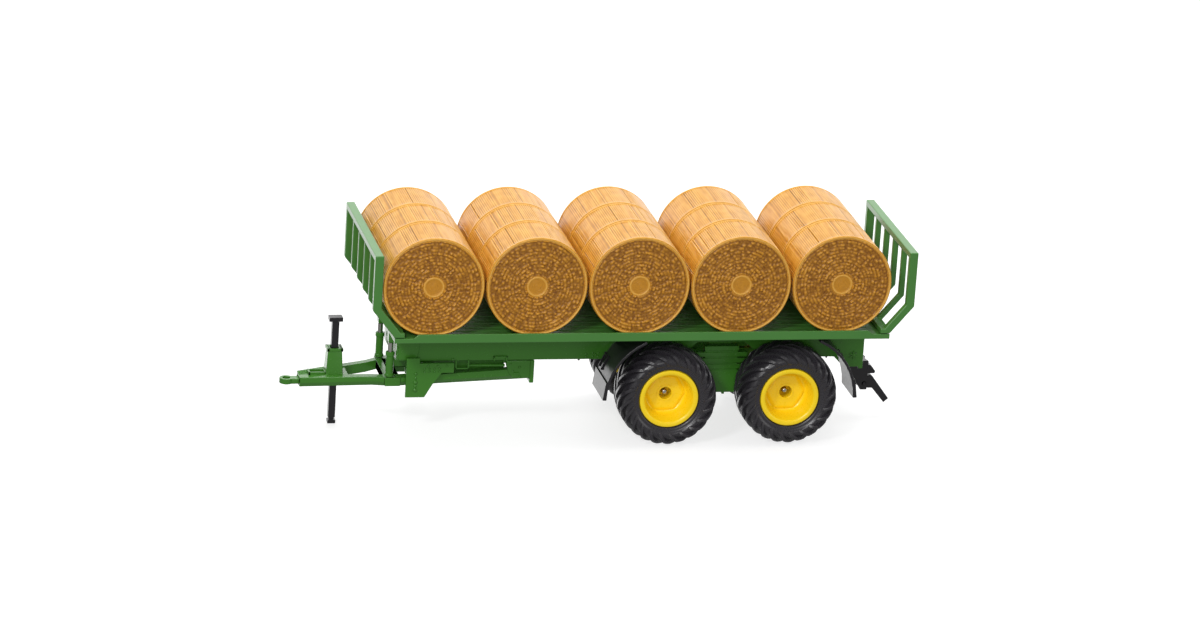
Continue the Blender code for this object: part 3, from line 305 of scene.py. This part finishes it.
# Ramp: dark brown for painted shade, the straw's own ochre in the middle, and pale gold for painted
# highlight.
straw_colour_with_painted_shading = node(straw, "ShaderNodeValToRGB", {"Fac": shade.outputs["Result"]})
straw_colour_with_painted_shading.color_ramp.elements[0].color = linear("#6e3e02")
straw_colour_with_painted_shading.color_ramp.elements[1].color = linear("#eebb5a")
middle_straw = straw_colour_with_painted_shading.color_ramp.elements.new(0.5)
middle_straw.color = linear("#c58720")
straw_bump = node(
    straw,
    "ShaderNodeBump",
    {"Height": fibre.outputs["Fac"], "Strength": 0.6, "Distance": FIBRE_DEPTH},
)
straw.node_tree.links.new(straw_colour_with_painted_shading.outputs["Color"], straw_shader.inputs["Base Color"])
straw.node_tree.links.new(straw_bump.outputs["Normal"], straw_shader.inputs["Normal"])

bale_low, bale_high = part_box("bale_1_left")
bale_radius = (bale_high.x - bale_low.x) / 2
bale_half = (bale_high.y - bale_low.y) / 2
bale_line = bale_profile(bale_radius, bale_half, VENT_RADIUS)
pattern_bale = turned("pattern_bale", bale_line, BALE_STEPS, False)
pattern_bale.data.attributes.new("painted_shade_and_highlight", "FLOAT", "POINT")
pattern_bale.data.attributes.new("lay", "FLOAT_VECTOR", "POINT")
painted_shading_values = pattern_bale.data.attributes["painted_shade_and_highlight"].data
lays = pattern_bale.data.attributes["lay"].data
# The second value of the straw function is painted shade and painted highlight, stored per point for the
# straw colour.
for corner, own, grain in zip(pattern_bale.data.vertices, painted_shading_values, lays):
    height, own.value = straw_height_and_painted_shading(corner.co, bale_radius, bale_half)
    reach = math.hypot(corner.co.x, corner.co.z)
    on_face = abs(corner.co.y) > bale_half - RIM_EDGE and reach < bale_radius - RIM_EDGE
    across_rows = 3.5 * reach if on_face else 0.08 * corner.co.y
    grain.vector = (across_rows, corner.co.x, corner.co.z)
    if on_face:
        corner.co.y += math.copysign(height, corner.co.y)
    elif height:
        corner.co.x *= 1 + height / bale_radius
        corner.co.z *= 1 + height / bale_radius
smooth(pattern_bale, 60.0)
for row in range(5):
    for column, label in enumerate(("left", "middle", "right")):
        name = f"bale_{row + 1}_{label}"
        low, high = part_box(name)
        bale = bpy.data.objects.new(f"moulded_{name}", pattern_bale.data.copy())
        bpy.context.scene.collection.objects.link(bale)
        roll = Matrix.Rotation(0.8 * row + 1.9 * column, 4, "Y")
        facing = Matrix.Rotation(math.pi if label == "right" else 0.0, 4, "Z")
        bale.data.transform(Matrix.Translation((low + high) / 2) @ facing @ roll)
        placed(bale, straw, "bale_straw", name, name)
bpy.data.objects.remove(pattern_bale)

# Bed: one green ABS moulding, a deck with raised side strips, ribs below and shallow plank lines on top. It
# is screwed to the chassis from below. The colour of moulded pieces drifts slowly, over about 22 mm.
DRIFT_SCALE = 45.0
PLANK_LINES = 15
PLANK_PITCH = 5.0 * MM
PLANK_HALF = 0.25 * MM
PLANK_END = 8.5 * MM
SIDE_STRIP = 1.8 * MM


def rounded(name, width, segments=2):
    """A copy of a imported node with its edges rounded, as they leave a mould or a paint bath."""
    piece = bpy.data.objects.new(f"shaped_{name}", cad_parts[name].data.copy())
    bpy.context.scene.collection.objects.link(piece)
    edit(piece)
    bpy.ops.mesh.remove_doubles(threshold=0.001 * MM)
    bpy.ops.mesh.dissolve_limited(angle_limit=math.radians(1.0))
    bpy.ops.object.mode_set(mode="OBJECT")
    smooth(piece)
    return soften(piece, width, segments)


def soften(piece, width, segments=2):
    """Rounds the edges of a piece."""
    bevel = piece.modifiers.new("Rounded edges", "BEVEL")
    bevel.width = width
    bevel.segments = segments
    bevel.limit_method = "ANGLE"
    bevel.angle_limit = math.radians(32.0)
    bevel.use_clamp_overlap = False
    bevel.harden_normals = True
    bpy.context.view_layer.objects.active = piece
    bpy.ops.object.modifier_apply(modifier=bevel.name)
    return piece


def bar(low, high, width=0.2 * MM, taper=1.0):
    """A straight moulded bar between two corners, its top narrowed by taper, with rounded edges."""
    bpy.ops.object.select_all(action="DESELECT")
    low, high = Vector(low), Vector(high)
    bpy.ops.mesh.primitive_cube_add(size=1.0, location=(low + high) / 2)
    piece = bpy.context.object
    piece.scale = high - low
    bpy.ops.object.transform_apply(location=True, rotation=True, scale=True)
    centre = (low + high) / 2
    for corner in piece.data.vertices:
        if corner.co.z > centre.z and taper != 1.0:
            corner.co.x = centre.x + (corner.co.x - centre.x) * taper
            corner.co.y = centre.y + (corner.co.y - centre.y) * taper
    smooth(piece)
    return soften(piece, width)


def rivet(place, radius, height):
    """A domed rivet or bolt head that stands out along Y."""
    bpy.ops.object.select_all(action="DESELECT")
    bpy.ops.mesh.primitive_uv_sphere_add(segments=12, ring_count=8, radius=radius, location=place)
    piece = bpy.context.object
    piece.scale.y = height / radius
    bpy.ops.object.transform_apply(location=True, rotation=True, scale=True)
    smooth(piece, 60.0)
    return piece


def joined(name, pieces):
    """The pieces as one object under a name."""
    bpy.ops.object.select_all(action="DESELECT")
    for piece in pieces:
        piece.select_set(True)
    bpy.context.view_layer.objects.active = pieces[0]
    bpy.ops.object.join()
    pieces[0].name = name
    return pieces[0]


def moulded(name, colour, darker, roughness, grain_size, depth, **values):
    """A plastic or paint with slow colour drift, slightly uneven gloss and a fine surface grain."""
    material, shader = finish(name, colour, roughness, **values)
    place = node(material, "ShaderNodeTexCoord", {})
    spread = {"Vector": place.outputs["Object"], "Scale": DRIFT_SCALE, "Detail": 4.0}
    drift = node(material, "ShaderNodeTexNoise", spread)
    tone = node(material, "ShaderNodeMix", {"Factor": drift.outputs["Fac"]}, data_type="RGBA")
    tone.inputs[6].default_value = linear(darker)
    tone.inputs[7].default_value = linear(colour)
    grains = {"Vector": place.outputs["Object"], "Scale": 1 / grain_size, "Detail": 2.0}
    fine = node(material, "ShaderNodeTexNoise", grains)
    gloss = node(
        material,
        "ShaderNodeMapRange",
        {"Value": fine.outputs["Fac"], "To Min": roughness - 0.06, "To Max": roughness + 0.08},
    )
    pits = {"Height": fine.outputs["Fac"], "Strength": 0.25, "Distance": depth}
    bump = node(material, "ShaderNodeBump", pits)
    material.node_tree.links.new(tone.outputs[2], shader.inputs["Base Color"])
    material.node_tree.links.new(gloss.outputs["Result"], shader.inputs["Roughness"])
    material.node_tree.links.new(bump.outputs["Normal"], shader.inputs["Normal"])
    return material


# Moulded ABS: even colour, a half-gloss skin with a grain of 0.7 mm, drawn coarser than the real one to show.
green_abs = moulded("green_abs", "#478037", "#407732", 0.30, 0.7 * MM, 0.02 * MM, IOR=1.53)

bed_low, bed_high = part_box("bed_deck")
bed = [rounded("bed_deck", 0.25 * MM)]
deck_top = bed_high.z - SIDE_STRIP
for line in range(PLANK_LINES):
    y = (line - PLANK_LINES // 2) * PLANK_PITCH
    low = (bed_low.x + PLANK_END, y - PLANK_HALF, deck_top - 0.4 * MM)
    high = (bed_high.x - PLANK_END, y + PLANK_HALF, deck_top + 0.12 * MM)
    bed.append(bar(low, high, 0.08 * MM))
placed(joined("planked_bed", bed), green_abs, "bed_green", "trailer", "bed_deck")

# Gates: slatted green ABS mouldings, bent inwards at the foot, whose pegs push into the bed. Their posts
# left the mould well rounded.
for name in ("front_gate", "rear_gate"):
    placed(rounded(name, 0.5 * MM, 3), green_abs, "bed_green", "trailer", name)

# Chassis: a die-cast frame in gloss green paint, with riveted doubler plates, tie loops, a bolted plate by
# the wheels and a capped bolt near the rear.
RAIL_DEPTH = 17.4 * MM
DOUBLER = 0.8 * MM
LOOP_WIDTH = 6.4 * MM
STAR_HALF = 1.9 * MM
SUNK = 0.3 * MM

# Enamel over metal: smooth and wet-looking, with a faint orange peel of 1.4 mm.
green_paint = moulded("green_enamel", "#407c28", "#3a7423", 0.24, 1.4 * MM, 0.004 * MM, IOR=1.45)

chassis = [rounded("chassis_frame", 0.3 * MM)]
rail_low, rail_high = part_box("chassis_frame")
rail_y = rail_high.y - DOUBLER
rail_bottom = rail_high.z - RAIL_DEPTH


def on_side(side, face, x, z, proud=0.9 * MM):
    """A bar on a side face, from ranges of x and z, sunk a little into it and standing proud."""
    reach = sorted((side * (face - SUNK), side * (face + proud)))
    return bar((x[0], reach[0], z[0]), (x[1], reach[1], z[1]), 0.15 * MM)


def loop_on_side(side, face, start, end, foot, head, wire=0.7 * MM):
    """A square wire loop on a side face: two legs from foot to head, joined by a bar at the head."""
    up = 1 if head > foot else -1
    low, high = sorted((foot, head))
    top = sorted((head, head - up * wire))
    return [
        on_side(side, face, (start, start + wire), (low, high)),
        on_side(side, face, (end - wire, end), (low, high)),
        on_side(side, face, (start, end), top),
    ]


for side in (-1, 1):
    for z in (1.4, 3.2, 5.0, 6.8):
        place = (rail_low.x + 4.2 * MM, side * rail_high.y, rail_bottom + z * MM)
        chassis.append(rivet(place, 0.5 * MM, 0.45 * MM))
    hook = rail_low.x + 48.4 * MM
    reach = (rail_bottom - 0.2 * MM, rail_bottom + 2.1 * MM)
    chassis += loop_on_side(side, rail_y, hook, hook + LOOP_WIDTH, *reach)
    tie = rail_low.x + 31.0 * MM
    reach = (rail_bottom + 0.3 * MM, rail_bottom - 4.0 * MM)
    chassis += loop_on_side(side, rail_y - 0.4 * MM, tie, tie + LOOP_WIDTH, *reach)
    chassis.append(rivet((tie - 1.2 * MM, side * rail_y, rail_bottom + 0.6 * MM), 0.7 * MM, 0.6 * MM))
    plate_x = rail_low.x + 94.6 * MM
    for x, z in ((-3.4, 2.6), (-3.4, 1.2), (-0.3, 3.0), (-0.3, 1.5), (2.2, 3.1), (2.2, 1.3), (0.9, 2.2)):
        place = (plate_x + x * MM, side * rail_y, rail_bottom + z * MM)
        chassis.append(rivet(place, 0.55 * MM, 0.5 * MM))
    boss_x = rail_high.x - 4.8 * MM
    boss_z = rail_bottom + 0.7 * MM
    for turn in range(3):
        arm = (boss_x - STAR_HALF, boss_x + STAR_HALF)
        star = on_side(side, rail_y, arm, (-0.35 * MM, 0.35 * MM), 0.6 * MM)
        spin = Matrix.Rotation(turn * math.pi / 3 + 0.5, 4, "Y")
        there = Matrix.Translation((boss_x, 0.0, boss_z))
        star.data.transform(there @ spin @ Matrix.Translation((-boss_x, 0.0, 0.0)))
        chassis.append(star)
    chassis.append(rivet((boss_x, side * rail_y, boss_z), 0.8 * MM, 0.9 * MM))
placed(joined("riveted_chassis", chassis), green_paint, "chassis_green", "trailer", "chassis_frame")

# Drawbar: a cast A-frame in the same paint, with a slotted plate on its nose, a thick rim round the jack's
# socket, bolts on the gussets ahead of its foot plate, a thin rod beside each arm and webs between the arms.
NOSE_DEPTH = 5.6 * MM
SLOT_WALL = 0.9
COLLAR_HEIGHT = 1.4 * MM
ROD_RADIUS = 0.65 * MM
ROD_LENGTH = 17.0 * MM

drawbar = [rounded("drawbar_frame", 0.3 * MM)]
arm_low, arm_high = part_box("drawbar_frame")
jack_low, jack_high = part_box("parking_jack")
jack_x = (jack_low.x + jack_high.x) / 2
nose_top = arm_low.z + NOSE_DEPTH
for y in (-2.6, 1.7):
    low = (jack_x - 11.6 * MM, y * MM, nose_top - 0.8 * MM)
    high = (jack_x - 3.4 * MM, (y + SLOT_WALL) * MM, nose_top + 0.9 * MM)
    drawbar.append(bar(low, high, 0.15 * MM))
for x in (-11.6, -4.3):
    low = (jack_x + x * MM, -2.6 * MM, nose_top - 0.8 * MM)
    high = (jack_x + (x + SLOT_WALL) * MM, 2.6 * MM, nose_top + 0.9 * MM)
    drawbar.append(bar(low, high, 0.15 * MM))
collar_bars = (
    ((-3.7, -3.3), (-2.4, 3.3)),
    ((2.4, -3.3), (3.7, 3.3)),
    ((-3.7, -3.3), (3.7, -2.2)),
    ((-3.7, 2.2), (3.7, 3.3)),
)
for start, end in collar_bars:
    low = (jack_x + start[0] * MM, start[1] * MM, arm_high.z - COLLAR_HEIGHT)
    drawbar.append(bar(low, (jack_x + end[0] * MM, end[1] * MM, arm_high.z)))
for side in (-1, 1):
    gusset = arm_high.y - 0.1 * MM
    for x, z, radius in ((-11.0, -1.9, 0.45), (-6.8, -3.5, 0.6), (-9.9, -5.2, 0.45), (-6.6, -8.2, 0.6)):
        place = (arm_high.x + x * MM, side * gusset, rail_bottom + z * MM)
        drawbar.append(rivet(place, radius * MM, radius * MM))
    x = (arm_high.x - 9.4 * MM, arm_high.x - 6.9 * MM)
    drawbar.append(on_side(side, gusset, x, (rail_bottom - 6.6 * MM, rail_bottom - 6.0 * MM), 0.4 * MM))
    rod_line = [(0.0, 0.0), (ROD_RADIUS, 0.0), (ROD_RADIUS, ROD_LENGTH), (0.0, ROD_LENGTH)]
    rod = turned(f"rod_{side}", rod_line, 16, False)
    start = Vector((arm_high.x - 30.4 * MM, side * (arm_high.y - 2.4 * MM), rail_bottom - 3.1 * MM))
    rod.data.transform(Matrix.Translation(start) @ Matrix.Rotation(math.radians(-91.5), 4, "Z"))
    drawbar.append(rod)
for y in (-8.0, 7.0):
    web_rear = (arm_high.x - 12.5 * MM, (y + 1.0) * MM, rail_bottom - 0.6 * MM)
    drawbar.append(bar((arm_high.x - 58.0 * MM, y * MM, rail_bottom - 8.5 * MM), web_rear))
placed(joined("cast_drawbar", drawbar), green_paint, "chassis_green", "trailer", "drawbar_frame")

# Towing eye: a cast ring on a flat shank, in the same paint. The shank is held in a slot in the drawbar's
# nose.
placed(rounded("towing_eye", 0.3 * MM), green_paint, "chassis_green", "trailer", "towing_eye")

# Parking jack: one black ABS moulding, a square shaft with a head plate and a small foot. It slides up and
# down in the drawbar's socket.
# Black ABS: nearly black with a half-gloss skin, and a grain of 0.9 mm to break its highlights.
black_abs = moulded("black_abs", "#1c1a1e", "#161418", 0.30, 0.9 * MM, 0.015 * MM, IOR=1.53)
jack = rounded("parking_jack", 0.2 * MM)
jack.name = "jack_leg"
placed(jack, black_abs, "black_plastic", "jack", "parking_jack")

# Drawbar cylinders: cast and painted barrels with a collar at each end, and bright rods of drawn steel that
# reach from them up to ears on the chassis.
# Drawn steel: bright and even, with a fine grain of 0.5 mm.
steel = moulded("drawn_steel", "#c9c6c2", "#b5b2ae", 0.22, 0.5 * MM, 0.004 * MM, Metallic=1.0)


def upright(name, profile, x, y):
    """A turned piece stood on end, from a profile of (radius, z)."""
    piece = turned(name, [(radius, -z) for radius, z in profile], 40, False)
    piece.data.transform(Matrix.Translation((x, y, 0.0)) @ Matrix.Rotation(-math.pi / 2, 4, "X"))
    smooth(piece)
    return piece


for label in ("left", "right"):
    name = f"cylinder_barrel_{label}"
    low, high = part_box(name)
    x, y = (low.x + high.x) / 2, (low.y + high.y) / 2
    radius = (high.x - low.x) / 2
    bore = 1.35 * MM
    profile = [
        (0.0, low.z),
        (radius - 0.3 * MM, low.z),
        (radius, low.z + 0.3 * MM),
        (radius, low.z + 1.2 * MM),
        (radius - 0.35 * MM, low.z + 1.5 * MM),
        (radius - 0.35 * MM, high.z - 2.0 * MM),
        (radius, high.z - 1.7 * MM),
        (radius, high.z - 0.3 * MM),
        (radius - 0.3 * MM, high.z),
        (bore, high.z),
        (bore, high.z - 4.0 * MM),
        (0.0, high.z - 4.0 * MM),
    ]
    barrel = upright(f"turned_barrel_{label}", profile, x, y)
    placed(barrel, green_paint, "chassis_green", "trailer", name)
    name = f"cylinder_rod_{label}"
    low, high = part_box(name)
    radius = (high.x - low.x) / 2
    profile = [
        (0.0, low.z),
        (radius, low.z),
        (radius, high.z - 0.2 * MM),
        (radius - 0.2 * MM, high.z),
        (0.0, high.z),
    ]
    placed(upright(f"turned_rod_{label}", profile, x, y), steel, "bright_steel", "trailer", name)

# Side brackets: deep cast plates under the rails, in the same paint, with a column of bolts and rows of
# rivets.
for side, label in ((-1, "left"), (1, "right")):
    name = f"side_bracket_{label}"
    low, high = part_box(name)
    face = low.y if side < 0 else high.y
    bracket = [rounded(name, 0.25 * MM)]
    for z, radius in ((11.4, 0.8), (9.3, 0.7), (7.3, 1.0), (5.5, 0.7), (3.6, 1.0)):
        bracket.append(rivet((low.x + 4.3 * MM, face, low.z + z * MM), radius * MM, radius * 0.8 * MM))
    for x in (9.9, 14.3, 18.5):
        bracket.append(rivet((low.x + x * MM, face, low.z + 15.0 * MM), 0.6 * MM, 0.55 * MM))
    for x in (8.2, 10.5, 12.8, 15.2):
        for z in (12.3, 13.7):
            bracket.append(rivet((low.x + x * MM, face, low.z + z * MM), 0.5 * MM, 0.5 * MM))
    placed(joined(f"bolted_bracket_{label}", bracket), green_paint, "chassis_green", "trailer", name)

# Bogie: two cast and painted beams with leaf packs above them, and a pair of feet under each. They rock
# together on one steel pin.
FOOT_WIDTH = 1.2 * MM
FOOT_INSET = 0.6 * MM
FOOT_DROP = 1.1 * MM

for side, label in ((-1, "left"), (1, "right")):
    name = f"bogie_beam_{label}"
    low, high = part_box(name)
    beam = [rounded(name, 0.2 * MM)]
    for x in (-2.6, 1.4):
        foot_x = (low.x + high.x) / 2 + x * MM
        foot_top = (foot_x + FOOT_WIDTH, high.y - FOOT_INSET, low.z + SUNK)
        beam.append(bar((foot_x, low.y + FOOT_INSET, low.z - FOOT_DROP), foot_top))
    placed(joined(f"footed_beam_{label}", beam), green_paint, "chassis_green", "bogie", name)
placed(rounded("bogie_pivot_pin", 0.2 * MM), steel, "bright_steel", "trailer", "bogie_pivot_pin")

# Tyres: soft black plastic rings with 22 curved lugs a side. A lug starts at the middle of the tread, sweeps
# back over the shoulder and fades out on the sidewall, which stays smooth next to the rim.
LUGS = 22
LUG_STATIONS = 14
LUG_SWEEP = 0.66
LUG_HEIGHT = 1.95 * MM
LUG_ROOT = 0.5 * MM

# Soft black vinyl with a satin skin, lighter than the moulded plastic, and a grain of 0.5 mm.
rubber = moulded("black_tyre_rubber", "#312f33", "#29272b", 0.27, 0.5 * MM, 0.01 * MM, IOR=1.52)
tyre_low, tyre_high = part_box("tyre_front_left")
tyre_radius = (tyre_high.x - tyre_low.x) / 2
tyre_half = (tyre_high.y - tyre_low.y) / 2
rim_low, rim_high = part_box("rim_front_left")
rim_radius = (rim_high.x - rim_low.x) / 2
tread = tyre_radius - LUG_HEIGHT
carcass = [
    (tread, 0.6 * MM),
    (tread, -2.5 * MM),
    (tread - 0.1 * MM, -5.0 * MM),
    (tread - 0.5 * MM, -7.4 * MM),
    (tread - 1.4 * MM, -9.1 * MM),
    (tread - 2.7 * MM, -tyre_half + 0.45 * MM),
    (tread - 4.4 * MM, -tyre_half + 0.3 * MM),
]


def along(line, share):
    """The point at a share of a line of (radius, y) points, and the direction out of it."""
    spot = share * (len(line) - 1)
    i = min(int(spot), len(line) - 2)
    here, there = Vector(line[i]), Vector(line[i + 1])
    before = Vector(line[max(i - 1, 0)])
    after = Vector(line[min(i + 2, len(line) - 1)])
    run = (there - before).lerp(after - here, spot - i).normalized()
    return here.lerp(there, spot - i), Vector((-run.y, run.x))


def lug_mesh(name):
    """All the lugs of one tyre, as closed bars that stand on the carcass."""
    corners, faces = [], []
    for half in (-1, 1):
        for lug in range(LUGS):
            first = math.tau * (lug + (0.25 if half > 0 else -0.25)) / LUGS
            base = len(corners)
            for station in range(LUG_STATIONS + 1):
                share = station / LUG_STATIONS
                spot, out = along(carcass, share)
                fade = min(1.0, (1.0 - share) / 0.3)
                height = LUG_HEIGHT * (0.12 + 0.88 * fade ** 0.8)
                width = (2.5 - 1.0 * share) * MM
                angle = first + LUG_SWEEP * (1.0 - share) ** 1.25
                for lean, tall in ((-0.5, -LUG_ROOT), (-0.34, height), (0.34, height), (0.5, -LUG_ROOT)):
                    level = spot + out * tall
                    turn = angle + lean * width * 1.35 / spot.x
                    corners.append((level.x * math.cos(turn), -half * level.y, level.x * math.sin(turn)))
            for station in range(LUG_STATIONS):
                here = base + 4 * station
                for i in range(4):
                    after = (i + 1) % 4
                    faces.append((here + i, here + after, here + 4 + after, here + 4 + i))
            faces.append(tuple(base + i for i in range(4)))
            faces.append(tuple(base + 4 * LUG_STATIONS + i for i in range(4)))
    mesh = bpy.data.meshes.new(name)
    mesh.from_pydata(corners, [], faces)
    piece = bpy.data.objects.new(name, mesh)
    bpy.context.scene.collection.objects.link(piece)
    edit(piece)
    bpy.ops.mesh.normals_make_consistent(inside=False)
    bpy.ops.object.mode_set(mode="OBJECT")
    smooth(piece)
    return soften(piece, 0.22 * MM)


sidewall = carcass[1:] + [
    (rim_radius + 2.6 * MM, -tyre_half + 0.6 * MM),
    (rim_radius + 1.5 * MM, -tyre_half + 1.0 * MM),
    (rim_radius + 0.8 * MM, -tyre_half + 0.9 * MM),
    (rim_radius + 0.3 * MM, -tyre_half + 1.5 * MM),
    (rim_radius + 0.3 * MM, -tyre_half + 3.0 * MM),
]
loop = [(r, -y) for r, y in reversed(sidewall)] + sidewall
tyre_pattern = joined("tyre_pattern", [turned("carcass", loop, 96, True), lug_mesh("lugs")])

# Rims: yellow ABS wheels with a rounded lip, a deep dish, a six-sided raised floor and a hub hole, pressed on
# bright steel axles whose domed ends show in the hubs.
HUB_HOLE = 2.9 * MM
HUB_DEPTH = 5.0 * MM
AXLE_BORE = 1.45 * MM
SLEEVE_RADIUS = 3.8 * MM
SLEEVE_INSET = 1.4 * MM
FLOOR_DEPTH = 9.6 * MM
FLOOR_THICKNESS = 2.3 * MM
RIM_WALL = 1.4 * MM

# Yellow ABS: a clean warm yellow with a half-gloss skin.
yellow_abs = moulded("yellow_abs", "#ffdd1a", "#fcd410", 0.28, 0.9 * MM, 0.008 * MM, IOR=1.53)
rim_half = (rim_high.y - rim_low.y) / 2
floor = -rim_half + FLOOR_DEPTH
rim_section = [
    (rim_radius, rim_half),
    (rim_radius, -rim_half + 0.6 * MM),
    (rim_radius - 0.2 * MM, -rim_half + 0.15 * MM),
    (rim_radius - 0.6 * MM, -rim_half),
    (rim_radius - 1.8 * MM, -rim_half + 0.05 * MM),
    (rim_radius - 2.3 * MM, -rim_half + 0.4 * MM),
    (rim_radius - 2.6 * MM, -rim_half + 1.2 * MM),
    (rim_radius - 3.4 * MM, floor - 2.0 * MM),
    (rim_radius - 4.0 * MM, floor - 0.5 * MM),
    (rim_radius - 4.8 * MM, floor),
    (HUB_HOLE + 1.0 * MM, floor),
    (HUB_HOLE + 1.0 * MM, floor - 1.5 * MM),
    (HUB_HOLE + 0.2 * MM, floor - 1.6 * MM),
    (HUB_HOLE, floor - 1.4 * MM),
    (HUB_HOLE, floor + HUB_DEPTH),
    (AXLE_BORE, floor + HUB_DEPTH),
    (AXLE_BORE, rim_half - SLEEVE_INSET),
    (SLEEVE_RADIUS, rim_half - SLEEVE_INSET),
    (SLEEVE_RADIUS, floor + FLOOR_THICKNESS),
    (rim_radius - RIM_WALL, floor + FLOOR_THICKNESS),
    (rim_radius - RIM_WALL, rim_half),
]
dish = turned("dish", rim_section, 96, True)
smooth(dish)
hexagon_section = [
    (10.4 * MM, floor + 0.3 * MM),
    (8.4 * MM, floor - 1.1 * MM),
    (3.7 * MM, floor - 1.3 * MM),
    (3.7 * MM, floor + 0.3 * MM),
]
hexagon = turned("hexagon", hexagon_section, 6, True)
smooth(hexagon, 20.0)
soften(hexagon, 0.6 * MM, 3)
rim_pattern = joined("rim_pattern", [dish, hexagon])
for row in ("front", "rear"):
    body = f"wheelset_{row}"
    for side, label in ((-1, "left"), (1, "right")):
        low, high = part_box(f"tyre_{row}_{label}")
        centre = (low + high) / 2
        facing = Matrix.Scale(-side, 4, (0.0, 1.0, 0.0))
        for pattern, kind, material, slot in (
            (tyre_pattern, "tyre", rubber, "tyre_rubber"),
            (rim_pattern, "rim", yellow_abs, "rim_yellow"),
        ):
            piece = bpy.data.objects.new(f"moulded_{kind}_{row}_{label}", pattern.data.copy())
            bpy.context.scene.collection.objects.link(piece)
            piece.data.transform(Matrix.Translation(centre) @ facing)
            edit(piece)
            bpy.ops.mesh.normals_make_consistent(inside=False)
            bpy.ops.object.mode_set(mode="OBJECT")
            smooth(piece)
            placed(piece, material, slot, body, f"{kind}_{row}_{label}")
    low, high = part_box(f"axle_{row}")
    radius = (high.x - low.x) / 2
    shaft = [
        (0.0, low.y),
        (radius - 0.5 * MM, low.y),
        (radius - 0.1 * MM, low.y + 0.3 * MM),
        (radius, low.y + 0.7 * MM),
    ]
    shaft += [(r, -y) for r, y in reversed(shaft)]
    axle = turned(f"turned_axle_{row}", shaft, 40, False)
    axle.data.transform(Matrix.Translation(((low.x + high.x) / 2, 0.0, (low.z + high.z) / 2)))
    smooth(axle)
    placed(axle, steel, "bright_steel", body, f"axle_{row}")
bpy.data.objects.remove(tyre_pattern)
bpy.data.objects.remove(rim_pattern)

# Mudguards: thin curved sheets of black ABS. A thicker flap covers the lower end of each, and two thin ribs
# with a knob at the top run down to it beside the rail.
FLAP_LENGTH = 8.4 * MM
FLAP_PROUD = 0.35 * MM
GUARD_WALL = 0.45 * MM


def on_guard(hub, radius, outward, y, proud, length, angle):
    """A bar on the outer face of a guard round a hub, turned up by an angle from the hub's level."""
    x = sorted((outward * (radius - GUARD_WALL), outward * (radius + proud)))
    piece = bar((x[0], y[0], -length / 2), (x[1], y[1], length / 2), 0.15 * MM)
    turn = Matrix.Rotation(math.radians(-outward * angle), 4, "Y")
    piece.data.transform(Matrix.Translation(hub) @ turn)
    return piece


for row, outward in (("front", -1), ("rear", 1)):
    low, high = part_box(f"axle_{row}")
    hub = Vector(((low.x + high.x) / 2, 0.0, (low.z + high.z) / 2))
    for side, label in ((-1, "left"), (1, "right")):
        name = f"mudguard_{row}_{label}"
        low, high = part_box(name)
        radius = hub.x - low.x if outward < 0 else high.x - hub.x
        sheet = (hub, radius, outward)
        guard = [rounded(name, 0.22 * MM)]
        guard.append(on_guard(*sheet, (low.y, high.y), FLAP_PROUD, FLAP_LENGTH, 8.0))
        for reach in (19.0, 24.0):
            y = side * reach * MM
            guard.append(on_guard(*sheet, (y - 0.3 * MM, y + 0.3 * MM), 0.6 * MM, 6.0 * MM, 24.0))
            guard.append(on_guard(*sheet, (y - 0.5 * MM, y + 0.5 * MM), 0.9 * MM, 0.9 * MM, 31.0))
        placed(joined(f"flapped_guard_{row}_{label}", guard), black_abs, "black_plastic", "trailer", name)

# Rear hitch: a black moulded jaw under the rear plate, and a lever with the lower jaw that turns on a
# blackened steel pin.
placed(rounded("hitch_body", 0.25 * MM), black_abs, "black_plastic", "trailer", "hitch_body")
placed(rounded("hitch_lever", 0.25 * MM), black_abs, "black_plastic", "hitch_lever", "hitch_lever")
blackened = moulded("blackened_steel", "#4a484c", "#3c3a3e", 0.35, 0.5 * MM, 0.004 * MM, Metallic=1.0)
placed(rounded("hitch_pin", 0.15 * MM), blackened, "bright_steel", "trailer", "hitch_pin")

# Screws: round-headed steel screws, driven from below. Three hold the bed to the chassis, and two hold the
# drawbar's foot to it.
for name in ("bed_screw_1", "bed_screw_2", "bed_screw_3", "drawbar_screw_left", "drawbar_screw_right"):
    placed(rounded(name, 0.2 * MM), steel, "bright_steel", "trailer", name)
